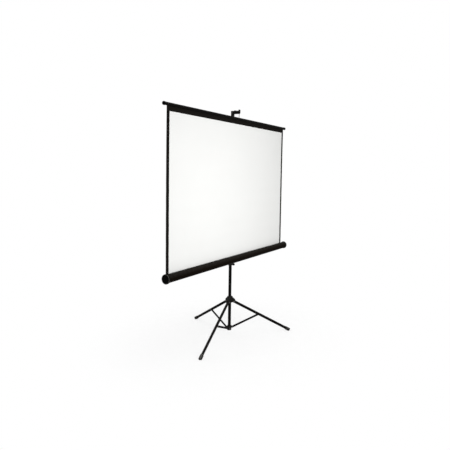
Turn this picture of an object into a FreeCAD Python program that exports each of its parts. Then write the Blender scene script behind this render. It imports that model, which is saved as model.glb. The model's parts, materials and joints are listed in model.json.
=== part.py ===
import FreeCAD
import Part
import os
import re
import Sketcher

# Portable tripod projection screen, in millimetres.
# +X runs along the screen, +Y points away from the viewer, +Z is up.
# The origin is the middle of the footprint, on the floor.
# The post stands a little in front of it, because the tripod is turned under the screen.

# The driving sizes: each has a name, a value and what it measures.
SIZES = (
    ("screen_width", 1760, "cloth, over both black borders"),
    ("cloth_thickness", 0.8, "coated cloth"),
    ("cloth_reach", 1269.9, "top bar's axis above the case's axis"),
    ("slide_gap", 0.3, "clearance round what slides or turns loosely"),
    ("seat_gap", 0.1, "clearance round what is pushed or screwed home"),
    ("pin_gap", 0.05, "radial clearance of a pin in its hole"),
    ("overrun", 2, "how far a cut runs past the face it opens"),
    ("post_radius", 14, "lower tube, outside"),
    ("post_wall", 1.5, "lower tube"),
    ("post_bottom", 50, "lower end of the lower tube above the floor"),
    ("post_top", 681, "upper end of the lower tube"),
    ("plug_thickness", 4, "end plug below the lower tube"),
    ("plug_depth", 14, "end plug inside the lower tube"),
    ("bush_wall", 1.1, "guide bush between the lower and the middle tube"),
    ("mast_wall", 1.3, "middle tube"),
    ("mast_foot_gap", 100, "lower end of the middle tube above that of the lower tube"),
    ("mast_reach", 654, "middle tube above the top of the lower tube"),
    ("upper_bush_wall", 1.3, "guide bush between the middle and the upper tube"),
    ("rod_wall", 1.2, "upper tube"),
    ("rod_overlap", 150, "upper tube inside the middle tube"),
    ("leg_turn_angle", 11.6, "degrees that the tripod is turned under the screen"),
    ("foot_reach", 578, "middle of a foot's end from the post's axis"),
    ("foot_height", 6, "middle of a foot's end above the floor"),
    ("hub_pivot_height", 316, "leg hinge pins above the floor"),
    ("collar_rise", 20, "brace hinge pins above the lower end of the lower tube"),
    ("rivet_share", 0.449, "place of the brace rivet along a leg, from the hub"),
    ("leg_depth", 24, "leg tube, across the hinge pin"),
    ("leg_width", 19, "leg tube, along the hinge pin"),
    ("leg_wall", 1.5, "leg tube"),
    ("leg_corner", 7, "rounding of the leg tube's corners"),
    ("leg_flat", 16, "solid pressed end of the leg tube past its hinge pin"),
    ("foot_wall", 2.5, "rubber foot round the leg tube"),
    ("foot_corner", 6, "rounding of the rubber foot's corners"),
    ("foot_grip", 28, "rubber foot over the leg tube"),
    ("foot_sole", 14, "rubber foot past the leg tube"),
    ("foot_block", 60, "half side of the block that trims a foot flat on the floor"),
    ("brace_depth", 18, "brace channel, across its pins"),
    ("brace_thickness", 5, "brace channel, along its pins"),
    ("brace_wall", 1.5, "pressed wall of the brace channel"),
    ("brace_gap", 0.4, "between a brace channel and the side of its leg"),
    ("pin_radius", 3, "hinge pins and rivets"),
    ("pin_head_radius", 5, "heads of hinge pins and rivets"),
    ("pin_head", 1.5, "thickness of a pin's head"),
    ("hub_wall", 9, "sleeve of the leg hub round the lower tube"),
    ("hub_rim_wall", 7, "upper rim of that sleeve"),
    ("hub_below", 7, "hub below its hinge pins"),
    ("hub_shoulder", 44, "top of the hub's straight sleeve above its hinge pins"),
    ("hub_above", 50, "top of the hub above its hinge pins"),
    ("hub_lug_drop", 17, "top of a hub lug's outer end above its hinge pin"),
    ("hub_lug_toe", 4, "chamfer below a hub lug's outer end"),
    ("hub_cheek", 3.5, "side wall of a hub lug"),
    ("hub_slot_gap", 1.5, "slot in a hub lug, off the sleeve and off the leg's eye"),
    ("hub_slot_top", 14, "top of the slot in a hub lug above its hinge pin"),
    ("hub_screw_height", 31, "hub screw above the hinge pins"),
    ("collar_wall", 5.5, "brace collar round the lower tube"),
    ("collar_eye_gap", 1, "between the brace collar and a brace's eye"),
    ("collar_below", 22, "brace collar below its pins"),
    ("collar_above", 20, "brace collar above its pins"),
    ("ear_round", 9, "rounding of the collar's ears"),
    ("ear_wall", 2.7, "each ear beside the brace channel"),
    ("ear_gap", 0.2, "between an ear and the brace channel"),
    ("ear_root", 3.5, "depth of the ears in the collar's wall"),
    ("clamp_wall", 4.4, "clamp collar round its tube"),
    ("clamp_height", 26, "clamp collar over its tube"),
    ("clamp_lip", 6, "clamp collar past the end of its tube"),
    ("clamp_chamfer", 1.5, "outer edges of the clamp collar"),
    ("bush_depth", 46, "guide bush inside the top of the lower tube"),
    ("upper_bush_depth", 35, "guide bush inside the top of the middle tube"),
    ("screw_drop", 13, "clamp screw below the end of its tube"),
    ("boss_radius", 7.5, "round boss that takes a clamp screw"),
    ("boss_root", 1.9, "depth of a boss in the wall behind it"),
    ("boss_length", 7.5, "boss out of the wall that carries it"),
    ("stud_radius", 3, "clamp screw's thread"),
    ("stud_gap", 0.08, "radial clearance of a clamp screw"),
    ("grip_radius", 10, "screw's hand grip"),
    ("grip_length", 14, "screw's hand grip"),
    ("grip_neck_radius", 6, "neck below the hand grip"),
    ("grip_neck", 4, "length of that neck"),
    ("grip_round", 2, "rounding of the grip's outer edge"),
    ("grip_bore", 11, "depth of the stud in the grip"),
    ("flute_radius", 3, "finger flutes round the grip"),
    ("flute_depth", 1.4, "depth of a flute in the grip"),
    ("guide_height", 30, "guide bush up the foot of the middle tube"),
    ("guide_floor", 4, "guide bush under the middle tube"),
    ("rod_guide_height", 25, "guide bush up the foot of the upper tube"),
    ("bracket_wall", 6, "case bracket round the middle tube"),
    ("bracket_below", 39.2, "bracket below the case's axis"),
    ("bracket_above", 36, "bracket above the case's axis"),
    ("bracket_half_width", 17, "bracket's nose, half its width"),
    ("bracket_nose_below", 34, "bracket's nose below the case's axis"),
    ("bracket_nose_above", 34, "bracket's nose above the case's axis"),
    ("bracket_nose_length", 12, "bracket's nose in front of its sleeve"),
    ("bolt_end_gap", 5.3, "between the middle tube and the pivot bolt"),
    ("bolt_radius", 5, "case pivot bolt"),
    ("bolt_head_radius", 9, "head of the pivot bolt"),
    ("bolt_head", 3, "thickness of that head"),
    ("bracket_screw_radius", 2.5, "screws that hold the bracket to its tube"),
    ("bracket_screw_head_radius", 4.5, "their heads"),
    ("bracket_screw_head", 2.8, "thickness of their heads"),
    ("bracket_screw_place", 28, "their distance from the case's axis, up and down"),
    ("case_radius", 33, "case tube, outside"),
    ("case_wall", 1.5, "case tube"),
    ("bearing_space", 15, "between the end of the roller and the end of the case tube"),
    ("case_cap_proud", 4.5, "end cap's rim past the case tube"),
    ("case_cap_length", 12, "end cap past the tube"),
    ("case_cap_round", 3, "outer edge of the end cap"),
    ("case_spigot_length", 15, "end cap inside the tube"),
    ("case_spigot_wall", 2.5, "wall of that part"),
    ("case_boss_radius", 9, "bearing boss inside the end cap"),
    ("case_boss_length", 12, "bearing boss, inwards"),
    ("case_boss_depth", 4, "its blind hole, into the cap"),
    ("slot_half_width", 3, "cloth slot along the case, half"),
    ("slot_floor", 10, "bottom of the slot's cut above the case's axis"),
    ("strip_gap", 0.9, "between a slot strip and the middle of the cloth"),
    ("strip_depth", 3.4, "slot strip, across the case's wall"),
    ("strip_proud", 0.9, "slot strip out of the case"),
    ("cap_screw_radius", 1.8, "screws through the case into its caps"),
    ("cap_screw_head_radius", 3.4, "their heads"),
    ("cap_screw_head", 1.4, "thickness of their heads"),
    ("cap_screw_inset", 10, "their distance from the end of the case tube"),
    ("hanger_half_length", 60, "saddle on the back of the case, half"),
    ("hanger_half_height", 14, "saddle, half its height"),
    ("hanger_corner", 8, "rounding of the saddle's corners"),
    ("hanger_web", 3.3, "saddle behind the pivot bolt's head"),
    ("hanger_cover", 1.3, "between the pivot bolt's head and the case"),
    ("hanger_rivet_place", 45, "saddle's rivets from its middle, along the case"),
    ("hanger_rivet_rise", 9, "saddle's rivets above and below the case's axis"),
    ("hanger_rivet_radius", 2, "saddle's rivets"),
    ("hanger_rivet_head_radius", 4, "their heads"),
    ("hanger_rivet_head", 1.3, "thickness of their heads"),
    ("hanger_rivet_tail", 1.2, "rivet past the inside of the case's wall"),
    ("roller_radius", 22.5, "roller tube, outside"),
    ("roller_wall", 1.2, "roller tube"),
    ("roller_overhang", 4, "roller tube past the cloth"),
    ("roll_thickness", 2.5, "cloth that is still wound on the roller"),
    ("roller_plug_length", 20, "end plugs of the roller"),
    ("shaft_radius", 4, "spring shaft and idle pin"),
    ("shaft_depth", 340, "spring shaft inside the roller"),
    ("idle_pin_depth", 22, "idle pin inside the roller"),
    ("spring_wall", 2.3, "counter spring round its shaft"),
    ("spring_clear", 8, "end of the counter spring from what holds it"),
    ("sheet_start", 6, "where the flat cloth begins above the case's axis"),
    ("bar_radius", 12.5, "top bar, outside"),
    ("bar_wall", 1.5, "top bar"),
    ("bar_overhang", 33, "top bar over its caps, past the cloth"),
    ("bar_slot_half_width", 1.3, "cloth slot under the top bar, half"),
    ("bar_cap_proud", 2, "rim of the top bar's end cap past the bar"),
    ("bar_cap_length", 10, "end cap past the bar's tube"),
    ("bar_cap_round", 3, "outer edge of that cap"),
    ("bar_spigot_length", 15, "end cap inside the bar's tube"),
    ("batten_radius", 4.5, "rod in the cloth's top hem"),
    ("head_wall", 3.5, "head block round the upper tube"),
    ("head_corner", 3, "rounding of the head block's corners"),
    ("head_height", 76.5, "head block"),
    ("head_socket", 22, "depth of the upper tube in the head block"),
    ("loop_rise", 68.5, "top of the hook arm above the top bar's axis"),
    ("arm_half_width", 8, "hook arm, half"),
    ("arm_depth", 28, "hook arm, from top to underside"),
    ("arm_reach", 34, "front end of the hook arm past the cloth plane"),
    ("arm_end_chamfer", 8, "lower front corner of the hook arm"),
    ("tip_height", 9, "upturned tip above the arm"),
    ("tip_thickness", 9, "upturned tip, at its top"),
    ("tip_foot", 12, "upturned tip, at the arm"),
    ("notch_half_width", 4, "notch that seats the pull loop, half"),
    ("notch_depth", 3, "that notch"),
    ("tongue_reach", 6, "tongue of the arm behind the post's axis"),
    ("tongue_inset", 5, "tongue below the top and above the underside of the arm"),
    ("arm_pin_radius", 2.5, "pins through the head block and the tongue"),
    ("arm_pin_place", 4, "those pins in front of the post's axis"),
    ("arm_pin_rise", 4.5, "those pins above and below the tongue's middle"),
    ("arm_pin_proud", 0.8, "those pins out of the head block"),
    ("wire_radius", 2, "wire of the pull loop"),
    ("loop_half_width", 38, "pull loop, half, between the middles of its wires"),
    ("loop_bend", 9, "bend of the pull loop's wire"),
    ("loop_foot", 4, "lower end of the pull loop above the bar's axis"),
)

# What follows from the driving sizes, each from those above it.
DERIVED = (
    ("mast_radius", "post_radius - post_wall - bush_wall - seat_gap - slide_gap"),
    ("mast_bottom", "post_bottom + mast_foot_gap"),
    ("mast_top", "post_top + mast_reach"),
    ("rod_radius", "mast_radius - mast_wall - upper_bush_wall - seat_gap - slide_gap"),
    ("rod_bottom", "mast_top - rod_overlap"),
    ("hub_radius", "post_radius + hub_wall"),
    ("hub_neck_radius", "post_radius + hub_rim_wall"),
    ("hub_slot_radius", "hub_radius + hub_slot_gap"),
    ("hub_pivot_radius", "hub_slot_radius + hub_slot_gap + leg_depth / 2"),
    ("hub_lug_radius", "hub_pivot_radius + leg_depth / 2"),
    ("collar_radius", "post_radius + collar_wall"),
    ("collar_pivot_radius", "collar_radius + collar_eye_gap + brace_depth / 2"),
    ("collar_pivot_height", "post_bottom + collar_rise"),
    ("leg_angle", "atan2(foot_reach - hub_pivot_radius; hub_pivot_height - foot_height) / 1 deg"),
    ("leg_length", "hypot(foot_reach - hub_pivot_radius; hub_pivot_height - foot_height)"),
    ("rivet_reach", "hub_pivot_radius + rivet_share * (foot_reach - hub_pivot_radius)"),
    ("rivet_height", "hub_pivot_height - rivet_share * (hub_pivot_height - foot_height)"),
    ("brace_length", "hypot(rivet_reach - collar_pivot_radius; rivet_height - collar_pivot_height)"),
    ("brace_angle",
     "atan2(rivet_reach - collar_pivot_radius; rivet_height - collar_pivot_height) / 1 deg"),
    ("brace_place", "leg_width / 2 + brace_gap + brace_thickness / 2"),
    ("bracket_radius", "mast_radius + bracket_wall"),
    ("bracket_nose", "bracket_radius + bracket_nose_length"),
    ("case_axis_height", "post_top + clamp_lip + slide_gap + bracket_below"),
    ("case_place",
     "bracket_nose + slide_gap + hanger_web + seat_gap + bolt_head + hanger_cover + case_radius"),
    ("case_cap_radius", "case_radius + case_cap_proud"),
    ("roller_half_length", "screen_width / 2 + roller_overhang"),
    ("case_tube_half", "roller_half_length + bearing_space"),
    ("shaft_inner_end", "roller_half_length - shaft_depth"),
    ("roll_radius", "roller_radius + roll_thickness"),
    ("cloth_offset", "case_place - roll_radius"),
    ("bar_axis_height", "case_axis_height + cloth_reach"),
    ("head_top", "bar_axis_height + loop_rise"),
    ("head_bottom", "head_top - head_height"),
    ("head_half_width", "rod_radius + head_wall"),
    ("arm_end", "cloth_offset + arm_reach"),
    ("bar_cap_radius", "bar_radius + bar_cap_proud"),
    ("bar_half_length", "screen_width / 2 + bar_overhang"),
    ("bar_tube_half", "bar_half_length - bar_cap_length"),
    ("foot_half_depth", "leg_depth / 2 + foot_wall"),
    ("foot_half_width", "leg_width / 2 + foot_wall"),
    ("foot_lean", "cos(leg_angle)"),
)

# The tripod has three legs, and the first points to the left of the screen.
LEG_COUNT = 3
LEG_STEP = 360 // LEG_COUNT
FIRST_LEG = 180
FLUTE_COUNT = 6

doc = FreeCAD.newDocument("projection_screen")
sheet = doc.addObject("Spreadsheet::Sheet", "sizes")
for row, (word, value, meaning) in enumerate(SIZES, start=1):
    sheet.set(f"A{row}", word)
    sheet.set(f"B{row}", str(value))
    sheet.set(f"C{row}", meaning)
    sheet.setAlias(f"B{row}", word)
doc.recompute()

derived = doc.addObject("App::VarSet", "derived")
OWNERS = {word: "sizes" for word, value, meaning in SIZES}


def full(text):
    """The expression with each size's name led by the object that holds it."""
    def lead(match):
        word = match.group(0)
        return f"{OWNERS[word]}.{word}" if word in OWNERS else word
    return re.sub(r"[a-z][a-z_]*", lead, text)


def derive(word, text):
    """A worked-out size, held in the document beside the driving ones."""
    derived.addProperty("App::PropertyFloat", word, "derived")
    derived.setExpression(word, full(text))
    OWNERS[word] = "derived"


def foot_extent(azimuth):
    """How far a foot reaches along Y, for a leg that points along azimuth."""
    radial = f"abs(sin({azimuth}))"
    across = f"abs(cos({azimuth}))"
    return (f"foot_reach * {radial} + (foot_half_depth - foot_corner) * foot_lean * {radial}"
            f" + (foot_half_width - foot_corner) * {across}"
            f" + foot_corner * hypot(foot_lean * {radial}; {across})")


def azimuth(number):
    """Direction of a leg, in degrees from +X."""
    return f"({FIRST_LEG} + leg_turn_angle - {number * LEG_STEP})"


for word, text in DERIVED:
    derive(word, text)
derive("post_shift", f"(({foot_extent(azimuth(2))}) - ({foot_extent(azimuth(1))})) / 2")
doc.recompute()


def amount(text):
    """The value of an expression, as a number."""
    value = sheet.evalExpression(full(text))
    return float(getattr(value, "Value", value))


# Placements are expressions too, so that a piece moves when a size changes.
AXES = {
    "x": ("0; 1; 0", "90"),
    "-x": ("0; 1; 0", "-90"),
    "y": ("1; 0; 0", "-90"),
    "-y": ("1; 0; 0", "90"),
    "z": ("0; 0; 1", "0"),
}


def shift(x="0", y="0", z="0"):
    return f"placement(vector({x}; {y}; {z}); rotation(vector(0; 0; 1); 0))"


def turn(axis, angle):
    unit = {"x": "1; 0; 0", "y": "0; 1; 0", "z": "0; 0; 1"}[axis]
    return f"placement(vector(0; 0; 0); rotation(vector({unit}); {angle}))"


def face(along):
    """Turns a piece built along +Z so that it runs along another axis."""
    unit, angle = AXES[along]
    return f"placement(vector(0; 0; 0); rotation(vector({unit}); {angle}))"


def put(solid, *steps):
    solid.setExpression("Placement", full(" * ".join(steps)))
    return solid


POST = shift(y="post_shift")


def at_leg(number):
    """The frame whose X axis points along a leg, with the post's axis as its Z axis."""
    return f"{POST} * {turn('z', azimuth(number))}"


def bind(solid, **expressions):
    for key, text in expressions.items():
        solid.setExpression(key, full(text))
    return solid


def cylinder(name, radius, low, high, x="0", y="0", z="0", along="z"):
    """A round bar from low to high along an axis that runs through x, y, z."""
    solid = doc.addObject("Part::Cylinder", name)
    bind(solid, Radius=radius, Height=f"({high}) - ({low})")
    return put(solid, shift(x, y, z), face(along), shift(z=low))


def box(name, x, y, z):
    """A block between a low and a high plane on each axis."""
    solid = doc.addObject("Part::Box", name)
    bind(solid, Length=f"({x[1]}) - ({x[0]})", Width=f"({y[1]}) - ({y[0]})",
         Height=f"({z[1]}) - ({z[0]})")
    return put(solid, shift(x[0], y[0], z[0]))


def fuse(name, *solids):
    union = doc.addObject("Part::MultiFuse", name)
    union.Shapes = list(solids)
    union.Refine = True
    return union


def cut(name, base, *tools):
    difference = doc.addObject("Part::Cut", name)
    difference.Base = base
    difference.Tool = tools[0] if len(tools) == 1 else fuse(f"{name}_cuts", *tools)
    difference.Refine = True
    return difference


def group(name, solids):
    """Like pieces that share one node."""
    compound = doc.addObject("Part::Compound", name)
    compound.Links = list(solids)
    return compound


def tube(name, radius, wall, low, high, *cuts, x="0", y="0", z="0", along="z"):
    """A round tube, with the cuts that are made in it."""
    outside = cylinder(f"{name}_outside", radius, low, high, x, y, z, along)
    bore = cylinder(f"{name}_bore", f"{radius} - {wall}", f"{low} - overrun", f"{high} + overrun",
                    x, y, z, along)
    return cut(name, outside, bore, *cuts)


def origin_part(body, role):
    return next(item for item in body.Origin.OriginFeatures if item.Role == role)


def outline(body, name, plane, corners):
    """A closed outline of straight runs whose corners follow the sheet."""
    sketch = body.newObject("Sketcher::SketchObject", name)
    sketch.AttachmentSupport = [(origin_part(body, plane), "")]
    sketch.MapMode = "FlatFace"
    points = [FreeCAD.Vector(amount(across), amount(up), 0) for across, up in corners]
    for index, point in enumerate(points):
        sketch.addGeometry(Part.LineSegment(point, points[(index + 1) % len(points)]))
    for index in range(len(points)):
        following = (index + 1) % len(points)
        sketch.addConstraint(Sketcher.Constraint("Coincident", index, 2, following, 1))
    for index, (across, up) in enumerate(corners):
        for kind, text in (("DistanceX", across), ("DistanceY", up)):
            number = sketch.addConstraint(
                Sketcher.Constraint(kind, -1, 1, index, 1, amount(text)))
            sketch.setExpression(f"Constraints[{number}]", full(text))
    return sketch


def drill(body, name, plane, across, up, radius, length):
    """A round hole through a body, shared to both sides of a plane."""
    sketch = body.newObject("Sketcher::SketchObject", f"{name}_circle")
    sketch.AttachmentSupport = [(origin_part(body, plane), "")]
    sketch.MapMode = "FlatFace"
    centre = FreeCAD.Vector(amount(across), amount(up), 0)
    sketch.addGeometry(Part.Circle(centre, FreeCAD.Vector(0, 0, 1), amount(radius)))
    for kind, place, text in (("DistanceX", (-1, 1, 0, 3), across),
                              ("DistanceY", (-1, 1, 0, 3), up),
                              ("Radius", (0,), radius)):
        number = sketch.addConstraint(Sketcher.Constraint(kind, *place, amount(text)))
        sketch.setExpression(f"Constraints[{number}]", full(text))
    hole = body.newObject("PartDesign::Pocket", name)
    hole.Profile = sketch
    hole.SideType = "Symmetric"
    bind(hole, Length=length)
    return hole


def turned(name, corners):
    """A body turned about Z from an outline of radius and height."""
    body = doc.addObject("PartDesign::Body", name)
    sketch = outline(body, f"{name}_section", "XZ_Plane", corners)
    solid = body.newObject("PartDesign::Revolution", f"{name}_turned")
    solid.Profile = sketch
    solid.ReferenceAxis = (sketch, ["V_Axis"])
    solid.Angle = 360
    return body


def sliced(name, plane, corners, thickness):
    """A body cut to an outline, with its thickness shared to both sides of a plane."""
    body = doc.addObject("PartDesign::Body", name)
    pad = body.newObject("PartDesign::Pad", f"{name}_pad")
    pad.Profile = outline(body, f"{name}_outline", plane, corners)
    pad.SideType = "Symmetric"
    bind(pad, Length=thickness)
    return body


def add_cylinder(body, name, kind, radius, low, high, *steps):
    """A round boss or hole in a body, along the Z axis of the frame that steps give."""
    feature = body.newObject(f"PartDesign::{kind}Cylinder", name)
    bind(feature, Radius=radius, Height=f"({high}) - ({low})")
    put(feature, *steps, shift(z=low))
    return feature


def pattern(body, name, features, count):
    """Repeats features round the body's Z axis."""
    doc.recompute()
    polar = body.newObject("PartDesign::PolarPattern", name)
    polar.Originals = list(features)
    polar.Axis = (origin_part(body, "Z_Axis"), [""])
    polar.Angle = 360
    polar.Occurrences = count
    body.Tip = polar
    return polar


def round_edges(body, name, radius, wanted):
    """Rounds the edges of a body that a test picks out."""
    doc.recompute()
    base = body.Tip
    names = [f"Edge{index}" for index, edge in enumerate(base.Shape.Edges, start=1) if wanted(edge)]
    fillet = body.newObject("PartDesign::Fillet", name)
    fillet.Base = (base, names)
    bind(fillet, Radius=radius)
    return fillet


def runs_along(axis):
    """A test for straight edges along one axis."""
    def wanted(edge):
        start, end = edge.Vertexes[0].Point, edge.Vertexes[-1].Point
        run = end - start
        return edge.Curve.TypeId == "Part::GeomLine" and abs(getattr(run, axis)) > run.Length * 0.999
    return wanted


def rim_at(radius, height):
    """A test for the round edge at a radius and height of a turned body."""
    reach, level = amount(radius), amount(height)

    def wanted(edge):
        if edge.Curve.TypeId != "Part::GeomCircle":
            return False
        near = 0.01
        return abs(edge.Curve.Radius - reach) < near and abs(edge.Curve.Center.z - level) < near
    return wanted


def rounded_block(name, x, y, z, corner, axis):
    """A block whose edges along one axis are rounded."""
    body = doc.addObject("PartDesign::Body", name)
    block = body.newObject("PartDesign::AdditiveBox", f"{name}_block")
    bind(block, Length=f"({x[1]}) - ({x[0]})", Width=f"({y[1]}) - ({y[0]})",
         Height=f"({z[1]}) - ({z[0]})")
    put(block, shift(x[0], y[0], z[0]))
    round_edges(body, f"{name}_corners", corner, runs_along(axis))
    return body


def pair(half):
    """A low and a high plane at the same distance from the middle."""
    return f"-({half})", f"{half}"


NODES = []


def node(solid, *steps):
    """Names a finished piece and gives it its place."""
    NODES.append(solid.Name)
    return put(solid, *(steps or (POST,)))


# Thumb screw: a fluted plastic grip moulded on a steel stud.
# Its Z axis runs outwards from the post's axis, and base is where the grip's neck begins.
def thumb_screw(name, base, tip, *steps):
    top = f"{base} + grip_neck + grip_length"
    grip = turned(f"{name}_knob", (
        ("stud_radius + pin_gap", base),
        ("grip_neck_radius", base),
        ("grip_neck_radius", f"{base} + grip_neck"),
        ("grip_radius", f"{base} + grip_neck"),
        ("grip_radius", top),
        ("0", top),
        ("0", f"{base} + grip_bore + seat_gap"),
        ("stud_radius + pin_gap", f"{base} + grip_bore + seat_gap"),
    ))
    round_edges(grip, f"{name}_grip_edge", "grip_round", rim_at("grip_radius", top))
    flute = add_cylinder(grip, f"{name}_flute", "Subtractive", "flute_radius",
                         f"{base} + grip_neck - overrun", f"{top} + overrun",
                         shift(x="grip_radius + flute_radius - flute_depth"))
    pattern(grip, f"{name}_flutes", [flute], FLUTE_COUNT)
    node(grip, *steps)
    stud = cylinder(f"{name}_stud", "stud_radius", tip, f"{base} + grip_bore")
    NODES.append(stud.Name)
    put(stud, *steps, shift(z=tip))


def clamp_boss(body, name, surface, *steps):
    """The round boss on a sleeve, bored for a thumb screw."""
    add_cylinder(body, f"{name}_boss", "Additive", "boss_radius",
                 f"{surface} - boss_root", f"{surface} + boss_length", *steps)
    add_cylinder(body, f"{name}_thread", "Subtractive", "stud_radius + stud_gap",
                 "0", f"{surface} + boss_length + overrun", *steps)


# Clamp collar: a moulded cap on the end of one tube that guides the next tube inside it.
def clamp_collar(name, radius, inner_radius, end, side):
    outer = f"{radius} + clamp_wall"
    low = f"{end} - clamp_height"
    top = f"{end} + clamp_lip"
    collar = turned(name, (
        (f"{radius} + seat_gap", low),
        (f"{outer} - clamp_chamfer", low),
        (outer, f"{low} + clamp_chamfer"),
        (outer, f"{top} - clamp_chamfer"),
        (f"{outer} - clamp_chamfer", top),
        (f"{inner_radius} + slide_gap", top),
        (f"{inner_radius} + slide_gap", f"{end} + seat_gap"),
        (f"{radius} + seat_gap", f"{end} + seat_gap"),
    ))
    clamp_boss(collar, name, outer, shift(z=f"{end} - screw_drop"), face(side))
    node(collar)


def screw_hole(name, height, side):
    """The hole that lets a clamp screw through the wall of a tube."""
    return cylinder(name, "stud_radius + stud_gap", "0", "post_radius + overrun",
                    z=height, along=side)


def guide_bush(name, bore, inner_radius, end, depth, side):
    """A plain bush inside the end of a tube, round the tube that slides in it."""
    ring = tube(name, f"({bore} - seat_gap)", f"({bore} - seat_gap - {inner_radius} - slide_gap)",
                f"{end} - {depth}", f"{end} - slide_gap",
                screw_hole(f"{name}_screw_hole", f"{end} - screw_drop", side))
    node(ring)


# Lower tube: the painted steel tube that the tripod stands on.
SCREW_SIDE = "-y"
node(tube("lower_tube", "post_radius", "post_wall", "post_bottom", "post_top",
          screw_hole("lower_tube_screw_hole", "post_top - screw_drop", SCREW_SIDE)))
node(turned("base_plug", (
    ("0", "post_bottom - plug_thickness"),
    ("post_radius", "post_bottom - plug_thickness"),
    ("post_radius", "post_bottom"),
    ("post_radius - post_wall - seat_gap", "post_bottom"),
    ("post_radius - post_wall - seat_gap", "post_bottom + plug_depth"),
    ("0", "post_bottom + plug_depth"),
)))
clamp_collar("clamp_collar", "post_radius", "mast_radius", "post_top", SCREW_SIDE)
guide_bush("clamp_bush", "post_radius - post_wall", "mast_radius", "post_top", "bush_depth",
           SCREW_SIDE)
thumb_screw("lower", "post_radius + clamp_wall + boss_length + slide_gap",
            "mast_radius + slide_gap", POST, shift(z="post_top - screw_drop"), face(SCREW_SIDE))


def hinge_pin(name, reach, height, low, high, number):
    """A headed pin along the Y axis of a leg's frame."""
    shank = cylinder(f"{name}_shank", "pin_radius", low, high, x=reach, z=height, along="y")
    heads = (
        cylinder(f"{name}_head_a", "pin_head_radius", f"{low} - pin_head", low,
                 x=reach, z=height, along="y"),
        cylinder(f"{name}_head_b", "pin_head_radius", high, f"{high} + pin_head",
                 x=reach, z=height, along="y"),
    )
    return put(fuse(name, shank, *heads), turn("z", azimuth(number)))


# Brace collar: fixed near the foot of the lower tube, with a pair of ears for each brace.
EAR_LOW = "brace_place - brace_thickness / 2 - ear_gap - ear_wall"
EAR_HIGH = "brace_place + brace_thickness / 2 + ear_gap + ear_wall"
COLLAR_LOW = "collar_pivot_height - collar_below"
COLLAR_HIGH = "collar_pivot_height + collar_above"
collar_solids = [cylinder("collar_ring", "collar_radius", COLLAR_LOW, COLLAR_HIGH)]
collar_cuts = [cylinder("collar_bore", "post_radius + seat_gap", f"{COLLAR_LOW} - overrun",
                        f"{COLLAR_HIGH} + overrun")]
collar_pins = []
for number in range(LEG_COUNT):
    tag = f"collar_{number + 1}"
    side = turn("z", azimuth(number))
    web = box(f"{tag}_web", ("collar_radius - ear_root", "collar_pivot_radius"), (EAR_LOW, EAR_HIGH),
              ("collar_pivot_height - ear_round", "collar_pivot_height + ear_round"))
    end = cylinder(f"{tag}_end", "ear_round", EAR_LOW, EAR_HIGH, x="collar_pivot_radius",
                   z="collar_pivot_height", along="y")
    slot = box(f"{tag}_slot",
               ("collar_pivot_radius - brace_depth / 2 - 2 * ear_gap",
                "collar_pivot_radius + ear_round + overrun"),
               ("brace_place - brace_thickness / 2 - ear_gap",
                "brace_place + brace_thickness / 2 + ear_gap"),
               ("collar_pivot_height - ear_round - overrun",
                "collar_pivot_height + ear_round + overrun"))
    hole = cylinder(f"{tag}_hole", "pin_radius + pin_gap", f"{EAR_LOW} - overrun",
                    f"{EAR_HIGH} + overrun", x="collar_pivot_radius", z="collar_pivot_height",
                    along="y")
    collar_solids.append(put(fuse(f"{tag}_ears", web, end), side))
    collar_cuts.append(put(fuse(f"{tag}_openings", slot, hole), side))
    collar_pins.append(hinge_pin(f"{tag}_pin", "collar_pivot_radius", "collar_pivot_height",
                                 f"{EAR_LOW} - seat_gap", f"{EAR_HIGH} + seat_gap", number))
node(cut("base_collar", fuse("collar_body", *collar_solids), *collar_cuts))
node(group("collar_pins", collar_pins))

# Leg hub: a moulded sleeve that slides on the lower tube, with three forked lugs.
HUB_LOW = "hub_pivot_height - hub_below"
HUB_SHOULDER = "hub_pivot_height + hub_shoulder"
HUB_TOP = "hub_pivot_height + hub_above"
HUB_CHEEK = "leg_width / 2 + slide_gap + hub_cheek"
hub = turned("leg_hub", (
    ("post_radius + slide_gap", HUB_LOW),
    ("hub_radius", HUB_LOW),
    ("hub_radius", HUB_SHOULDER),
    ("hub_neck_radius", HUB_TOP),
    ("post_radius + slide_gap", HUB_TOP),
))
lug = hub.newObject("PartDesign::Pad", "hub_lug")
lug.Profile = outline(hub, "hub_lug_outline", "XZ_Plane", (
    ("hub_neck_radius", HUB_LOW),
    ("hub_lug_radius - hub_lug_toe", HUB_LOW),
    ("hub_lug_radius", f"{HUB_LOW} + hub_lug_toe"),
    ("hub_lug_radius", "hub_pivot_height + hub_lug_drop"),
    ("hub_neck_radius", HUB_SHOULDER),
))
lug.SideType = "Symmetric"
bind(lug, Length=f"2 * ({HUB_CHEEK})")
doc.recompute()
fork = hub.newObject("PartDesign::Pocket", "hub_fork")
fork.Profile = outline(hub, "hub_fork_outline", "XZ_Plane", (
    ("hub_slot_radius", f"{HUB_LOW} - overrun"),
    ("hub_lug_radius + overrun", f"{HUB_LOW} - overrun"),
    ("hub_lug_radius + overrun", "hub_pivot_height + hub_slot_top"),
    ("hub_slot_radius", "hub_pivot_height + hub_slot_top"),
))
fork.SideType = "Symmetric"
bind(fork, Length="leg_width + 2 * slide_gap")
doc.recompute()
pin_hole = drill(hub, "hub_pin_hole", "XZ_Plane", "hub_pivot_radius", "hub_pivot_height",
                 "pin_radius + pin_gap", f"2 * ({HUB_CHEEK} + overrun)")
pattern(hub, "hub_lugs", [lug, fork, pin_hole], LEG_COUNT)
clamp_boss(hub, "hub", "hub_radius", shift(z="hub_pivot_height + hub_screw_height"), face("-x"))
node(hub, at_leg(0))
node(group("hub_pins", [
    hinge_pin(f"hub_{number + 1}_pin", "hub_pivot_radius", "hub_pivot_height",
              f"-({HUB_CHEEK}) - seat_gap", f"{HUB_CHEEK} + seat_gap", number)
    for number in range(LEG_COUNT)]))
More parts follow.
